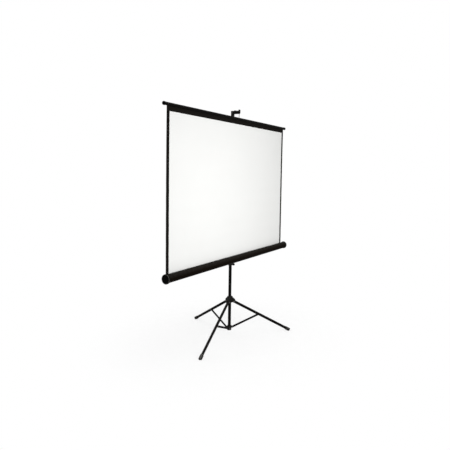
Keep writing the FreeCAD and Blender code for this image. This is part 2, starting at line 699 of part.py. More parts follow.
thumb_screw("hub", "hub_radius + boss_length + slide_gap", "post_radius + slide_gap",
            at_leg(0), shift(z="hub_pivot_height + hub_screw_height"), face("-x"))

# Legs, feet and braces: one set for each leg, in the plane through the post's axis.
BRACE_LOW = "brace_place - brace_thickness / 2"
BRACE_HIGH = "brace_place + brace_thickness / 2"
LEG_END = "leg_length - foot_sole"
for number in range(LEG_COUNT):
    tag = number + 1
    down_leg = f"{shift(x='hub_pivot_radius', z='hub_pivot_height')} * {turn('y', '90 - leg_angle')}"
    up_brace = (f"{shift(x='collar_pivot_radius', z='collar_pivot_height')}"
                f" * {turn('y', 'brace_angle - 90')}")

    # Leg: a rounded steel tube, pressed solid round its hinge pin.
    bar = rounded_block(f"leg_{tag}_bar", ("0", LEG_END), pair("leg_width / 2"),
                        pair("leg_depth / 2"), "leg_corner", "x")
    eye = cylinder(f"leg_{tag}_eye", "leg_depth / 2", *pair("leg_width / 2"), along="y")
    hollow = rounded_block(f"leg_{tag}_hollow", ("leg_flat", f"{LEG_END} + overrun"),
                           pair("leg_width / 2 - leg_wall"), pair("leg_depth / 2 - leg_wall"),
                           "leg_corner - leg_wall", "x")
    hole = cylinder(f"leg_{tag}_hole", "pin_radius + pin_gap", "-leg_width", "leg_width", along="y")
    node(cut(f"leg_{tag}", fuse(f"leg_{tag}_solid", bar, eye), hollow, hole),
         at_leg(number), down_leg)

    # Foot: a rubber sleeve over the leg's end, flat where it stands on the floor.
    sleeve = rounded_block(f"foot_{tag}_sleeve", (f"{LEG_END} - foot_grip", "leg_length"),
                           pair("foot_half_width"), pair("foot_half_depth"), "foot_corner", "x")
    socket = rounded_block(f"foot_{tag}_socket",
                           (f"{LEG_END} - foot_grip - overrun", f"{LEG_END} + seat_gap"),
                           pair("leg_width / 2 + seat_gap"), pair("leg_depth / 2 + seat_gap"),
                           "leg_corner + seat_gap", "x")
    boot = put(cut(f"foot_{tag}_boot", sleeve, socket), down_leg)
    floor = box(f"foot_{tag}_floor", ("foot_reach - foot_block", "foot_reach + foot_block"),
                pair("foot_block"), ("-foot_block", "0"))
    node(cut(f"foot_{tag}", boot, floor), at_leg(number))

    # Brace: a shallow pressed channel beside the leg, open towards it and solid at both ends,
    # with the outer half of the rivet that joins them.
    strip = box(f"brace_{tag}_strip", ("0", "brace_length"), (BRACE_LOW, BRACE_HIGH),
                pair("brace_depth / 2"))
    pressing = box(f"brace_{tag}_pressing", ("brace_depth", "brace_length - brace_depth"),
                   (f"{BRACE_LOW} - overrun", f"{BRACE_HIGH} - brace_wall"),
                   pair("brace_depth / 2 - brace_wall"))
    ends = [cylinder(f"brace_{tag}_end_{letter}", "brace_depth / 2", BRACE_LOW, BRACE_HIGH,
                     x=place, along="y") for letter, place in (("a", "0"), ("b", "brace_length"))]
    holes = [cylinder(f"brace_{tag}_hole_{letter}", "pin_radius + pin_gap",
                      f"{BRACE_LOW} - overrun", f"{BRACE_HIGH} + overrun", x=place, along="y")
             for letter, place in (("a", "0"), ("b", "brace_length"))]
    node(cut(f"brace_{tag}", fuse(f"brace_{tag}_solid", strip, *ends), pressing, *holes),
         at_leg(number), up_brace)
    rivet = fuse(f"brace_rivet_{tag}",
                 cylinder(f"brace_rivet_{tag}_shank", "pin_radius", BRACE_LOW,
                          f"{BRACE_HIGH} + seat_gap", x="brace_length", along="y"),
                 cylinder(f"brace_rivet_{tag}_head", "pin_head_radius", f"{BRACE_HIGH} + seat_gap",
                          f"{BRACE_HIGH} + seat_gap + pin_head", x="brace_length", along="y"))
    node(rivet, at_leg(number), up_brace)

# Mast guide: the plastic shoe that the middle tube turns on, sliding in the lower tube.
GUIDE_RADIUS = "post_radius - post_wall - slide_gap"
node(turned("mast_guide", (
    ("rod_radius + slide_gap", "mast_bottom - slide_gap - guide_floor"),
    (GUIDE_RADIUS, "mast_bottom - slide_gap - guide_floor"),
    (GUIDE_RADIUS, "mast_bottom + guide_height"),
    ("mast_radius + slide_gap", "mast_bottom + guide_height"),
    ("mast_radius + slide_gap", "mast_bottom - slide_gap"),
    ("rod_radius + slide_gap", "mast_bottom - slide_gap"),
)))

# Case bracket: clamped on the middle tube by two screws, with a nose for the pivot bolt.
BRACKET_LOW = "case_axis_height - bracket_below"
BRACKET_HIGH = "case_axis_height + bracket_above"
BRACKET_SCREWS = ("case_axis_height - bracket_screw_place", "case_axis_height + bracket_screw_place")
UPPER_SIDE = "y"


def bracket_holes(name):
    return [cylinder(f"{name}_screw_hole_{index}", "bracket_screw_radius + pin_gap", "0",
                     "bracket_radius + overrun", z=height, along="y")
            for index, height in enumerate(BRACKET_SCREWS, start=1)]


node(tube("mast_tube", "mast_radius", "mast_wall", "mast_bottom", "mast_top",
          *bracket_holes("mast_tube"),
          screw_hole("mast_tube_clamp_hole", "mast_top - screw_drop", UPPER_SIDE)))
sleeve = cylinder("bracket_sleeve", "bracket_radius", BRACKET_LOW, BRACKET_HIGH)
nose = box("bracket_nose_block", pair("bracket_half_width"), ("-bracket_nose", "0"),
           ("case_axis_height - bracket_nose_below", "case_axis_height + bracket_nose_above"))
bore = cylinder("bracket_bore", "mast_radius + seat_gap", f"{BRACKET_LOW} - overrun",
                f"{BRACKET_HIGH} + overrun")
bolt_hole = cylinder("bracket_bolt_hole", "bolt_radius + pin_gap", "0", "bracket_nose + overrun",
                     z="case_axis_height", along="-y")
node(cut("case_bracket", fuse("bracket_body", sleeve, nose), bore, bolt_hole,
         *bracket_holes("case_bracket")))
bracket_screws = []
for index, height in enumerate(BRACKET_SCREWS, start=1):
    shank = cylinder(f"bracket_screw_{index}_shank", "bracket_screw_radius",
                     "mast_radius - mast_wall + seat_gap", "bracket_radius + seat_gap",
                     z=height, along="y")
    head = cylinder(f"bracket_screw_{index}_head", "bracket_screw_head_radius",
                    "bracket_radius + seat_gap",
                    "bracket_radius + seat_gap + bracket_screw_head", z=height, along="y")
    bracket_screws.append(fuse(f"bracket_screw_{index}", shank, head))
node(group("bracket_screws", bracket_screws))

# Case hanger: the saddle riveted to the back of the case, hung on the pivot bolt.
HANGER_BACK = "bracket_nose + slide_gap"
BOLT_HEAD_BACK = f"{HANGER_BACK} + hanger_web"
saddle = rounded_block("hanger_block", pair("hanger_half_length"),
                       ("-cloth_offset", f"-({HANGER_BACK})"),
                       ("case_axis_height - hanger_half_height",
                        "case_axis_height + hanger_half_height"), "hanger_corner", "y")
bed = cylinder("hanger_bed", "case_radius + seat_gap", *pair("hanger_half_length + overrun"),
               y="-case_place", z="case_axis_height", along="x")
bolt_way = cylinder("hanger_bolt_way", "bolt_radius + pin_gap", "0", "cloth_offset",
                    z="case_axis_height", along="-y")
bolt_recess = cylinder("hanger_bolt_recess", "bolt_head_radius + slide_gap",
                       BOLT_HEAD_BACK, "cloth_offset + overrun", z="case_axis_height", along="-y")
RIVET_PLACES = [(f"{left}hanger_rivet_place", f"case_axis_height {rise} hanger_rivet_rise")
                for left in ("-", "") for rise in ("-", "+")]


def rivet_holes(name):
    return [cylinder(f"{name}_rivet_hole_{index}", "hanger_rivet_radius + pin_gap", "0",
                     "case_place - roll_radius + overrun", x=place, z=height, along="-y")
            for index, (place, height) in enumerate(RIVET_PLACES, start=1)]


node(cut("case_hanger", saddle, bed, bolt_way, bolt_recess, *rivet_holes("case_hanger")))
node(fuse("pivot_bolt",
          cylinder("pivot_bolt_shank", "bolt_radius", "mast_radius + bolt_end_gap",
                   f"{BOLT_HEAD_BACK} + seat_gap", z="case_axis_height", along="-y"),
          cylinder("pivot_bolt_head", "bolt_head_radius", f"{BOLT_HEAD_BACK} + seat_gap",
                   f"{BOLT_HEAD_BACK} + seat_gap + bolt_head", z="case_axis_height", along="-y")))
RIVET_TAIL = ("case_place - sqrt((case_radius - case_wall)^2 - hanger_rivet_rise^2)"
              " + hanger_rivet_tail")
hanger_rivets = []
for index, (place, height) in enumerate(RIVET_PLACES, start=1):
    shank = cylinder(f"hanger_rivet_{index}_shank", "hanger_rivet_radius",
                     f"{HANGER_BACK} - seat_gap", RIVET_TAIL, x=place, z=height, along="-y")
    head = cylinder(f"hanger_rivet_{index}_head", "hanger_rivet_head_radius",
                    f"{HANGER_BACK} - seat_gap - hanger_rivet_head", f"{HANGER_BACK} - seat_gap",
                    x=place, z=height, along="-y")
    hanger_rivets.append(fuse(f"hanger_rivet_{index}", shank, head))
node(group("hanger_rivets", hanger_rivets))

# Case: a round steel tube, slotted along its upper back for the cloth.
CASE_AXIS = {"y": "-case_place", "z": "case_axis_height"}
slot = box("case_slot", pair("case_tube_half + overrun"),
           ("-cloth_offset - slot_half_width", "-cloth_offset + slot_half_width"),
           ("case_axis_height + slot_floor", "case_axis_height + case_radius + overrun"))
CAP_SCREWS = [(side, along) for side in ("-", "") for along in ("-z", "y")]


def cap_screw(name, radius, low, high, side, along):
    """A round bar across the case's axis, near one end of the case."""
    place = f"{side}(case_tube_half - cap_screw_inset)"
    if along == "-z":
        return cylinder(name, radius, f"-({high})", f"-({low})", x=place, **CASE_AXIS)
    return cylinder(name, radius, low, high, x=place, along=along, **CASE_AXIS)


def cap_screw_holes(name, sides=("-", "")):
    return [cap_screw(f"{name}_cap_hole_{index}", "cap_screw_radius + pin_gap",
                      "case_boss_radius + overrun", "case_radius + overrun", side, along)
            for index, (side, along) in enumerate(CAP_SCREWS, start=1) if side in sides]


node(tube("case_tube", "case_radius", "case_wall", *pair("case_tube_half"), slot,
          *rivet_holes("case_tube"), *cap_screw_holes("case_tube"), along="x", **CASE_AXIS))
for word, side, along in (("left", "-", "-x"), ("right", "", "x")):
    cap = turned(f"case_cap_{word}_turned", (
        ("0", "case_cap_length"),
        ("case_cap_radius", "case_cap_length"),
        ("case_cap_radius", "seat_gap"),
        ("case_radius - case_wall - seat_gap", "seat_gap"),
        ("case_radius - case_wall - seat_gap", "-case_spigot_length"),
        ("case_radius - case_wall - seat_gap - case_spigot_wall", "-case_spigot_length"),
        ("case_radius - case_wall - seat_gap - case_spigot_wall", "seat_gap"),
        ("case_boss_radius", "seat_gap"),
        ("case_boss_radius", "-case_boss_length"),
        ("shaft_radius + pin_gap", "-case_boss_length"),
        ("shaft_radius + pin_gap", "case_boss_depth"),
        ("0", "case_boss_depth"),
    ))
    round_edges(cap, f"case_cap_{word}_edge", "case_cap_round",
                rim_at("case_cap_radius", "case_cap_length"))
    put(cap, shift(x=f"{side}case_tube_half", **CASE_AXIS), face(along))
    node(cut(f"case_cap_{word}", cap, *cap_screw_holes(f"case_cap_{word}", (side,))))
cap_screws = []
for index, (side, along) in enumerate(CAP_SCREWS, start=1):
    shank = cap_screw(f"cap_screw_{index}_shank", "cap_screw_radius",
                      "case_radius - case_wall - case_spigot_wall", "case_radius + seat_gap",
                      side, along)
    head = cap_screw(f"cap_screw_{index}_head", "cap_screw_head_radius",
                     "case_radius + seat_gap", "case_radius + seat_gap + cap_screw_head",
                     side, along)
    cap_screws.append(fuse(f"cap_screw_{index}", shank, head))
node(group("cap_screws", cap_screws))

# Slot strips: plush along both edges of the slot, which wipe the cloth.
STRIP_HALF = "screen_width / 2"
shell = tube("strip_shell", "(case_radius + strip_proud)", "strip_depth", *pair(STRIP_HALF),
             along="x", **CASE_AXIS)
lips = [box(f"strip_lip_{index}", pair(STRIP_HALF), sides,
            ("case_axis_height + slot_floor", "case_axis_height + case_radius + overrun"))
        for index, sides in enumerate((
            ("-cloth_offset - slot_half_width + seat_gap", "-cloth_offset - strip_gap"),
            ("-cloth_offset + strip_gap", "-cloth_offset + slot_half_width - seat_gap")), start=1)]
strips = doc.addObject("Part::MultiCommon", "slot_strips")
strips.Shapes = [shell, fuse("strip_lips", *lips)]
node(strips)

# Roller: a spring shaft fixed in the left cap, an idle pin in the right one, and the tube.
node(cylinder("spring_shaft", "shaft_radius", "shaft_inner_end", "case_tube_half + case_boss_depth"
              " - seat_gap"), POST, shift(**CASE_AXIS), face("-x"), shift(z="shaft_inner_end"))
node(cylinder("idle_pin", "shaft_radius", "roller_half_length - idle_pin_depth",
              "case_tube_half + case_boss_depth - seat_gap"), POST, shift(**CASE_AXIS), face("x"),
     shift(z="roller_half_length - idle_pin_depth"))
node(tube("roller_tube", "roller_radius", "roller_wall", *pair("roller_half_length"),
          along="x", **CASE_AXIS))
PLUG_RADIUS = "(roller_radius - roller_wall - seat_gap)"
for word, along in (("left", "-x"), ("right", "x")):
    node(tube(f"roller_plug_{word}", PLUG_RADIUS, f"({PLUG_RADIUS} - shaft_radius - pin_gap)",
              "roller_half_length - roller_plug_length", "roller_half_length",
              along=along, **CASE_AXIS))
node(tube("roller_spring", "(shaft_radius + slide_gap + spring_wall)", "spring_wall",
          "shaft_inner_end + spring_clear", "roller_half_length - roller_plug_length - slide_gap",
          along="-x", **CASE_AXIS))
node(tube("cloth_roll", "roll_radius", "(roll_thickness - seat_gap)", *pair("screen_width / 2"),
          along="x", **CASE_AXIS))

# Screen cloth: one flat sheet from the roller up to the batten in the top bar.
BATTEN_DROP = "(bar_radius - bar_wall - batten_radius - slide_gap)"
node(box("screen_cloth", pair("screen_width / 2"),
         ("-cloth_offset - cloth_thickness / 2", "-cloth_offset + cloth_thickness / 2"),
         ("case_axis_height + sheet_start",
          f"bar_axis_height - {BATTEN_DROP} - batten_radius - slide_gap")),
     POST, shift("-screen_width / 2", "-cloth_offset - cloth_thickness / 2",
                 "case_axis_height + sheet_start"))

# Upper end of the middle tube, clamped round the upper tube.
clamp_collar("upper_collar", "mast_radius", "rod_radius", "mast_top", UPPER_SIDE)
guide_bush("upper_bush", "mast_radius - mast_wall", "rod_radius", "mast_top", "upper_bush_depth",
           UPPER_SIDE)
thumb_screw("upper", "mast_radius + clamp_wall + boss_length + slide_gap",
            "rod_radius + slide_gap", POST, shift(z="mast_top - screw_drop"), face(UPPER_SIDE))

# Upper tube with its guide, head block and hook arm.
ROD_TOP = "head_bottom + head_socket"
node(tube("extension_tube", "rod_radius", "rod_wall", "rod_bottom", ROD_TOP))
node(tube("extension_guide", "(mast_radius - mast_wall - slide_gap)",
          "(mast_radius - mast_wall - slide_gap - rod_radius - seat_gap)",
          "rod_bottom", "rod_bottom + rod_guide_height"))
ARM_BOTTOM = "head_top - arm_depth"
PIN_HEIGHTS = [f"head_top - arm_depth / 2 {rise} arm_pin_rise" for rise in ("-", "+")]


def arm_pin_holes(name):
    return [cylinder(f"{name}_pin_hole_{index}", "arm_pin_radius + pin_gap",
                     *pair("head_half_width + overrun"), y="-arm_pin_place", z=height, along="x")
            for index, height in enumerate(PIN_HEIGHTS, start=1)]


block = rounded_block("head_body", pair("head_half_width"), pair("head_half_width"),
                      ("head_bottom", "head_top"), "head_corner", "z")
socket = cylinder("head_tube_socket", "rod_radius + seat_gap", "head_bottom - overrun",
                  f"{ROD_TOP} + seat_gap")
mortise = box("head_mortise", pair("arm_half_width + seat_gap"),
              ("-head_half_width - overrun", "tongue_reach + seat_gap"),
              (f"{ARM_BOTTOM} + tongue_inset - seat_gap", "head_top - tongue_inset + seat_gap"))
node(cut("head_block", block, socket, mortise, *arm_pin_holes("head_block")))
arm = sliced("hook_arm_plate", "YZ_Plane", (
    ("-head_half_width - seat_gap", ARM_BOTTOM),
    ("-head_half_width - seat_gap", f"{ARM_BOTTOM} + tongue_inset"),
    ("tongue_reach", f"{ARM_BOTTOM} + tongue_inset"),
    ("tongue_reach", "head_top - tongue_inset"),
    ("-head_half_width - seat_gap", "head_top - tongue_inset"),
    ("-head_half_width - seat_gap", "head_top"),
    ("-cloth_offset + notch_half_width", "head_top"),
    ("-cloth_offset + notch_half_width - notch_depth / 2", "head_top - notch_depth"),
    ("-cloth_offset - notch_half_width + notch_depth / 2", "head_top - notch_depth"),
    ("-cloth_offset - notch_half_width", "head_top"),
    ("-arm_end + tip_foot", "head_top"),
    ("-arm_end + tip_thickness", "head_top + tip_height"),
    ("-arm_end", "head_top + tip_height"),
    ("-arm_end", f"{ARM_BOTTOM} + arm_end_chamfer"),
    ("-arm_end + arm_end_chamfer", ARM_BOTTOM),
), "2 * arm_half_width")
node(cut("hook_arm", arm, *arm_pin_holes("hook_arm")))
node(group("arm_pins", [
    cylinder(f"arm_pin_{index}", "arm_pin_radius", *pair("head_half_width + arm_pin_proud"),
             y="-arm_pin_place", z=height, along="x")
    for index, height in enumerate(PIN_HEIGHTS, start=1)]))

# Top bar: a slotted tube with capped ends, and the batten that holds the cloth's hem in it.
BAR_AXIS = {"y": "-cloth_offset", "z": "bar_axis_height"}
bar_slot = box("bar_slot", pair("bar_tube_half + overrun"),
               ("-cloth_offset - bar_slot_half_width", "-cloth_offset + bar_slot_half_width"),
               ("bar_axis_height - bar_radius - overrun",
                "bar_axis_height - bar_radius + bar_wall + overrun"))
loop_holes = [cylinder(f"bar_loop_hole_{index}", "wire_radius + pin_gap", "0",
                       "bar_radius + overrun", x=f"{side}loop_half_width", **BAR_AXIS)
              for index, side in enumerate(("-", ""), start=1)]
node(tube("top_bar", "bar_radius", "bar_wall", *pair("bar_tube_half"), bar_slot, *loop_holes,
          along="x", **BAR_AXIS))
for word, side, along in (("left", "-", "-x"), ("right", "", "x")):
    cap = turned(f"bar_cap_{word}", (
        ("0", "bar_cap_length"),
        ("bar_cap_radius", "bar_cap_length"),
        ("bar_cap_radius", "seat_gap"),
        ("bar_radius - bar_wall - seat_gap", "seat_gap"),
        ("bar_radius - bar_wall - seat_gap", "-bar_spigot_length"),
        ("0", "-bar_spigot_length"),
    ))
    round_edges(cap, f"bar_cap_{word}_edge", "bar_cap_round",
                rim_at("bar_cap_radius", "bar_cap_length"))
    node(cap, POST, shift(x=f"{side}bar_tube_half", **BAR_AXIS), face(along))
node(cylinder("bar_batten", "batten_radius", *pair("screen_width / 2")), POST,
     shift(y="-cloth_offset", z=f"bar_axis_height - {BATTEN_DROP}"), face("x"),
     shift(z="-screen_width / 2"))

# Pull loop: bent wire, pushed into the top bar and hung over the hook arm.
WIRE_TOP = "(head_top - notch_depth + wire_radius + seat_gap)"
LOOP_LINE = {"y": "-cloth_offset"}
loop_parts = [cylinder("loop_bridge", "wire_radius", *pair("loop_half_width - loop_bend"),
                       z=WIRE_TOP, along="x", **LOOP_LINE)]
for word, side, start in (("left", "-", "90"), ("right", "", "0")):
    loop_parts.append(cylinder(f"loop_{word}_leg", "wire_radius", "bar_axis_height + loop_foot",
                               f"{WIRE_TOP} - loop_bend", x=f"{side}loop_half_width", **LOOP_LINE))
    bend = doc.addObject("Part::Torus", f"loop_{word}_bend")
    bind(bend, Radius1="loop_bend", Radius2="wire_radius")
    bend.Angle3 = 90
    put(bend, shift(x=f"{side}(loop_half_width - loop_bend)", z=f"{WIRE_TOP} - loop_bend",
                    **LOOP_LINE), turn("x", "90"), turn("z", start))
    loop_parts.append(bend)
node(fuse("pull_loop", *loop_parts))

doc.recompute()

faults = [f"{item.Label}: {', '.join(item.State)}" for item in doc.Objects
          if {"Invalid", "Error"} & set(item.State)]
for name in NODES:
    shape = doc.getObject(name).Shape
    if shape.isNull() or not shape.isValid() or not shape.Solids:
        faults.append(f"{name}: no valid solid")
if faults:
    raise RuntimeError("; ".join(faults))

os.makedirs("parts", exist_ok=True)
for name in NODES:
    doc.getObject(name).Shape.exportStep(f"parts/{name}.step")

print(f"{len(NODES)} nodes, with the post {amount('-post_shift'):.2f} mm in front of the origin")
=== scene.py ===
import json
import math
import random

import bmesh
import bpy
from mathutils import Matrix, Vector

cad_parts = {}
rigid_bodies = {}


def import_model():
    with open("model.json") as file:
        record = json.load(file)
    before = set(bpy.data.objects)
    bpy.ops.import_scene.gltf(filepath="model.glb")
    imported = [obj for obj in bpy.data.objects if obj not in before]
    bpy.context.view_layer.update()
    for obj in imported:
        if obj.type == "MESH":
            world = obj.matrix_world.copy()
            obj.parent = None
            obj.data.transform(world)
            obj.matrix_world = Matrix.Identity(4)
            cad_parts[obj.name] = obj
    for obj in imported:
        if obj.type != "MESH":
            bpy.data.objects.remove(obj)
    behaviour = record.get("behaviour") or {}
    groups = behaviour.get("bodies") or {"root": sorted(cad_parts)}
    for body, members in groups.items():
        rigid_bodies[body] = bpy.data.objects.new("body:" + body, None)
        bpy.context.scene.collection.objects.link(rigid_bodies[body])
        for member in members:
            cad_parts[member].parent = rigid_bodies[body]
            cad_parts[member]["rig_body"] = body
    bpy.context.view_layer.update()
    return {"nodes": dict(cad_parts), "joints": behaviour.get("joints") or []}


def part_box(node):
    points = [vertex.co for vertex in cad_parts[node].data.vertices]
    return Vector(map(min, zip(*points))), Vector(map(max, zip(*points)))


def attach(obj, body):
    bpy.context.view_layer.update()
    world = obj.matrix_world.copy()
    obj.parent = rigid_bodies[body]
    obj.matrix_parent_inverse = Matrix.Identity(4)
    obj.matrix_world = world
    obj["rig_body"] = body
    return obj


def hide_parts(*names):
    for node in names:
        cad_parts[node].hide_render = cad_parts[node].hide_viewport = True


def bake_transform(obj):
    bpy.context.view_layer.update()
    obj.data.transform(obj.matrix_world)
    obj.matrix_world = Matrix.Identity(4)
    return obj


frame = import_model()

# Camera: it stands in front of the left half of the screen, at chest height.
# Its place and turn were worked out from the corners of the cloth, the bar, the case and the feet.
IMAGE_PIXELS = 450
FOCAL_PIXELS = 430.6
LENS_AXIS_RIGHT_PIXELS = 71.28
LENS_AXIS_UP_PIXELS = 24.62
CAMERA_FROM_POST = Vector((-3.2557, -2.2812, 0))
CAMERA_HEIGHT = 1.5292
CAMERA_YAW = math.radians(63.586)
CAMERA_PITCH = math.radians(-3.748)
CAMERA_ROLL = math.radians(1.456)

tube_low, tube_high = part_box("lower_tube")
post_foot = Vector(((tube_low.x + tube_high.x) / 2, (tube_low.y + tube_high.y) / 2, 0))
forward = Vector((math.sin(CAMERA_YAW) * math.cos(CAMERA_PITCH),
                  math.cos(CAMERA_YAW) * math.cos(CAMERA_PITCH),
                  math.sin(CAMERA_PITCH)))
level_right = Vector((math.cos(CAMERA_YAW), -math.sin(CAMERA_YAW), 0))
level_up = level_right.cross(forward)
right = level_right * math.cos(CAMERA_ROLL) + level_up * math.sin(CAMERA_ROLL)
up = level_up * math.cos(CAMERA_ROLL) - level_right * math.sin(CAMERA_ROLL)
camera_data = bpy.data.cameras.new("camera")
camera_data.lens = camera_data.sensor_width * FOCAL_PIXELS / IMAGE_PIXELS
camera_data.shift_x = -LENS_AXIS_RIGHT_PIXELS / IMAGE_PIXELS
camera_data.shift_y = -LENS_AXIS_UP_PIXELS / IMAGE_PIXELS
camera = bpy.data.objects.new("camera", camera_data)
camera.matrix_world = Matrix.Translation(
    post_foot + CAMERA_FROM_POST + Vector((0, 0, CAMERA_HEIGHT))
) @ Matrix((right, up, -forward)).transposed().to_4x4()
bpy.context.scene.collection.objects.link(camera)
bpy.context.scene.camera = camera

# Studio: a pale floor under an even white surround, with soft boxes above, behind and in front.
# The lens sees the surround through the floor, faintly near the stand and fully away from it,
# and the floor returns less light than it shows, so the picture stays white and the cloth even.
FLOOR_SIZE = 40
FLOOR_SEEN = 0.98
FLOOR_BOUNCE = 0.50
FLOOR_ROUGHNESS = 0.9
FLOOR_FADE_START = 0.3
FLOOR_FADE_END = 1.4
FLOOR_THINNED = 0.75
SURROUND_LIGHT = 0.58
KEY_PLACE, KEY_SIZE, KEY_WATTS = (-2.4, -4.4, 2.1), 2.0, 15.0
KEY_AIM = Vector((-0.10, 0, 1.15))
KEY_SPREAD = math.radians(46)
TOP_PLACE, TOP_SIZE, TOP_WATTS = (0.3, -0.6, 4.6), 3.0, 45
BACK_PLACE, BACK_SIZE, BACK_WATTS = (1.4, 4.4, 3.0), 2.6, 60
LAMP_AIM = Vector((0, 0, 1.1))
WHITE = (1, 1, 1, 1)


def seen_by_lens_or_mirror(nodes, links):
    """1 on rays from the camera, from a mirror or through glass, and 0 on rays that carry light."""
    path = nodes.new("ShaderNodeLightPath")
    seen = path.outputs["Is Camera Ray"]
    for other in ("Is Glossy Ray", "Is Transmission Ray"):
        either = nodes.new("ShaderNodeMath")
        either.operation = "MAXIMUM"
        links.new(seen, either.inputs[0])
        links.new(path.outputs[other], either.inputs[1])
        seen = either.outputs[0]
    return seen


def lamp(name, place, size, watts, aim=LAMP_AIM, spread=math.pi):
    """A square soft box, with a grid in front of it where its spread is narrow."""
    light = bpy.data.lights.new(name, "AREA")
    light.size = size
    light.energy = watts
    light.spread = spread
    box = bpy.data.objects.new(name, light)
    box.location = place
    box.rotation_euler = (aim - Vector(place)).to_track_quat("-Z", "Y").to_euler()
    bpy.context.scene.collection.objects.link(box)


lamp("key_lamp", KEY_PLACE, KEY_SIZE, KEY_WATTS, KEY_AIM, KEY_SPREAD)
lamp("top_lamp", TOP_PLACE, TOP_SIZE, TOP_WATTS)
lamp("back_lamp", BACK_PLACE, BACK_SIZE, BACK_WATTS)

world = bpy.data.worlds.new("surround")
bpy.context.scene.world = world
world.use_nodes = True
surround = world.node_tree
surround.nodes.clear()
surround_out = surround.nodes.new("ShaderNodeOutputWorld")
seen_white = surround.nodes.new("ShaderNodeBackground")
seen_white.inputs["Color"].default_value = WHITE
light_only = surround.nodes.new("ShaderNodeBackground")
light_only.inputs["Color"].default_value = WHITE
light_only.inputs["Strength"].default_value = SURROUND_LIGHT
surround_choice = surround.nodes.new("ShaderNodeMixShader")
surround.links.new(seen_by_lens_or_mirror(surround.nodes, surround.links), surround_choice.inputs[0])
surround.links.new(light_only.outputs[0], surround_choice.inputs[1])
surround.links.new(seen_white.outputs[0], surround_choice.inputs[2])
surround.links.new(surround_choice.outputs[0], surround_out.inputs["Surface"])

bpy.ops.mesh.primitive_plane_add(size=FLOOR_SIZE, location=(0, 0, 0))
floor = bpy.context.object
floor.name = "floor"
floor_pale = bpy.data.materials.new("floor_pale")
floor_pale.use_nodes = True
floor_nodes, floor_links = floor_pale.node_tree.nodes, floor_pale.node_tree.links
floor_shader = floor_nodes["Principled BSDF"]
floor_shader.inputs["Roughness"].default_value = FLOOR_ROUGHNESS
floor_shader.inputs["Specular IOR Level"].default_value = 0
floor_place = floor_nodes.new("ShaderNodeTexCoord")
floor_distance = floor_nodes.new("ShaderNodeVectorMath")
floor_distance.operation = "LENGTH"
floor_links.new(floor_place.outputs["Object"], floor_distance.inputs[0])
floor_fade = floor_nodes.new("ShaderNodeMapRange")
floor_fade.interpolation_type = "SMOOTHERSTEP"
floor_fade.inputs["From Min"].default_value = FLOOR_FADE_START
floor_fade.inputs["From Max"].default_value = FLOOR_FADE_END
floor_fade.inputs["To Min"].default_value = FLOOR_THINNED
floor_links.new(floor_distance.outputs["Value"], floor_fade.inputs["Value"])
floor_gone = floor_nodes.new("ShaderNodeMath")
floor_gone.operation = "MULTIPLY"
floor_links.new(floor_fade.outputs["Result"], floor_gone.inputs[0])
floor_seen = seen_by_lens_or_mirror(floor_nodes, floor_links)
floor_links.new(floor_seen, floor_gone.inputs[1])
floor_tone = floor_nodes.new("ShaderNodeMapRange")
floor_tone.inputs["To Min"].default_value = FLOOR_BOUNCE
floor_tone.inputs["To Max"].default_value = FLOOR_SEEN
floor_links.new(floor_seen, floor_tone.inputs["Value"])
floor_links.new(floor_tone.outputs["Result"], floor_shader.inputs["Base Color"])
floor_clear = floor_nodes.new("ShaderNodeBsdfTransparent")
floor_choice = floor_nodes.new("ShaderNodeMixShader")
floor_links.new(floor_gone.outputs[0], floor_choice.inputs[0])
floor_links.new(floor_shader.outputs[0], floor_choice.inputs[1])
floor_links.new(floor_clear.outputs[0], floor_choice.inputs[2])
floor_links.new(floor_choice.outputs[0], floor_nodes["Material Output"].inputs["Surface"])
floor.data.materials.append(floor_pale)

# Tubes, legs, top bar, saddle, hook arm and pull loop: steel, painted with black enamel.
# The enamel has a slight orange peel and thin spots on its edges. A grey on what faces up is settled
# dust, laid on thick enough to also paint the highlight of light from above.
WEAR_SAMPLES = 4
WEAR_PATCH_SIZE = 0.012
WEAR_PATCH_DETAIL = 4.0
WEAR_PATCH_FLOOR = 0.38
WEAR_GAIN = 14.0
DUST_AND_SHEEN_DETAIL = 5.0


def new_group(name, inputs, outputs):
    """An empty node group with its sockets and the two nodes that hold them."""
    group = bpy.data.node_groups.new(name, "ShaderNodeTree")
    for socket, value in inputs.items():
        made = group.interface.new_socket(socket, in_out="INPUT", socket_type="NodeSocketFloat")
        made.default_value = value
    for socket in outputs:
        group.interface.new_socket(socket, in_out="OUTPUT", socket_type="NodeSocketFloat")
    return group, group.nodes.new("NodeGroupInput"), group.nodes.new("NodeGroupOutput")


def math_node(tree, operation, first, second=None):
    """One sum: each term is a number or the socket that gives it."""
    node = tree.nodes.new("ShaderNodeMath")
    node.operation = operation
    for index, term in enumerate((first, second)):
        if isinstance(term, (int, float)):
            node.inputs[index].default_value = term
        elif term is not None:
            tree.links.new(term, node.inputs[index])
    return node.outputs[0]


def noise_node(tree, size, detail=2.0):
    """Even noise whose grains are about size metres across; size is a number or a socket."""
    place = tree.nodes.new("ShaderNodeTexCoord")
    noise = tree.nodes.new("ShaderNodeTexNoise")
    noise.inputs["Detail"].default_value = detail
    tree.links.new(place.outputs["Object"], noise.inputs["Vector"])
    tree.links.new(math_node(tree, "DIVIDE", 1.0, size), noise.inputs["Scale"])
    return noise.outputs["Fac"]


grain_group, grain_in, grain_out = new_group("grain", {"Size": 0.002}, ("Height",))
grain_group.links.new(noise_node(grain_group, grain_in.outputs["Size"]), grain_out.inputs["Height"])

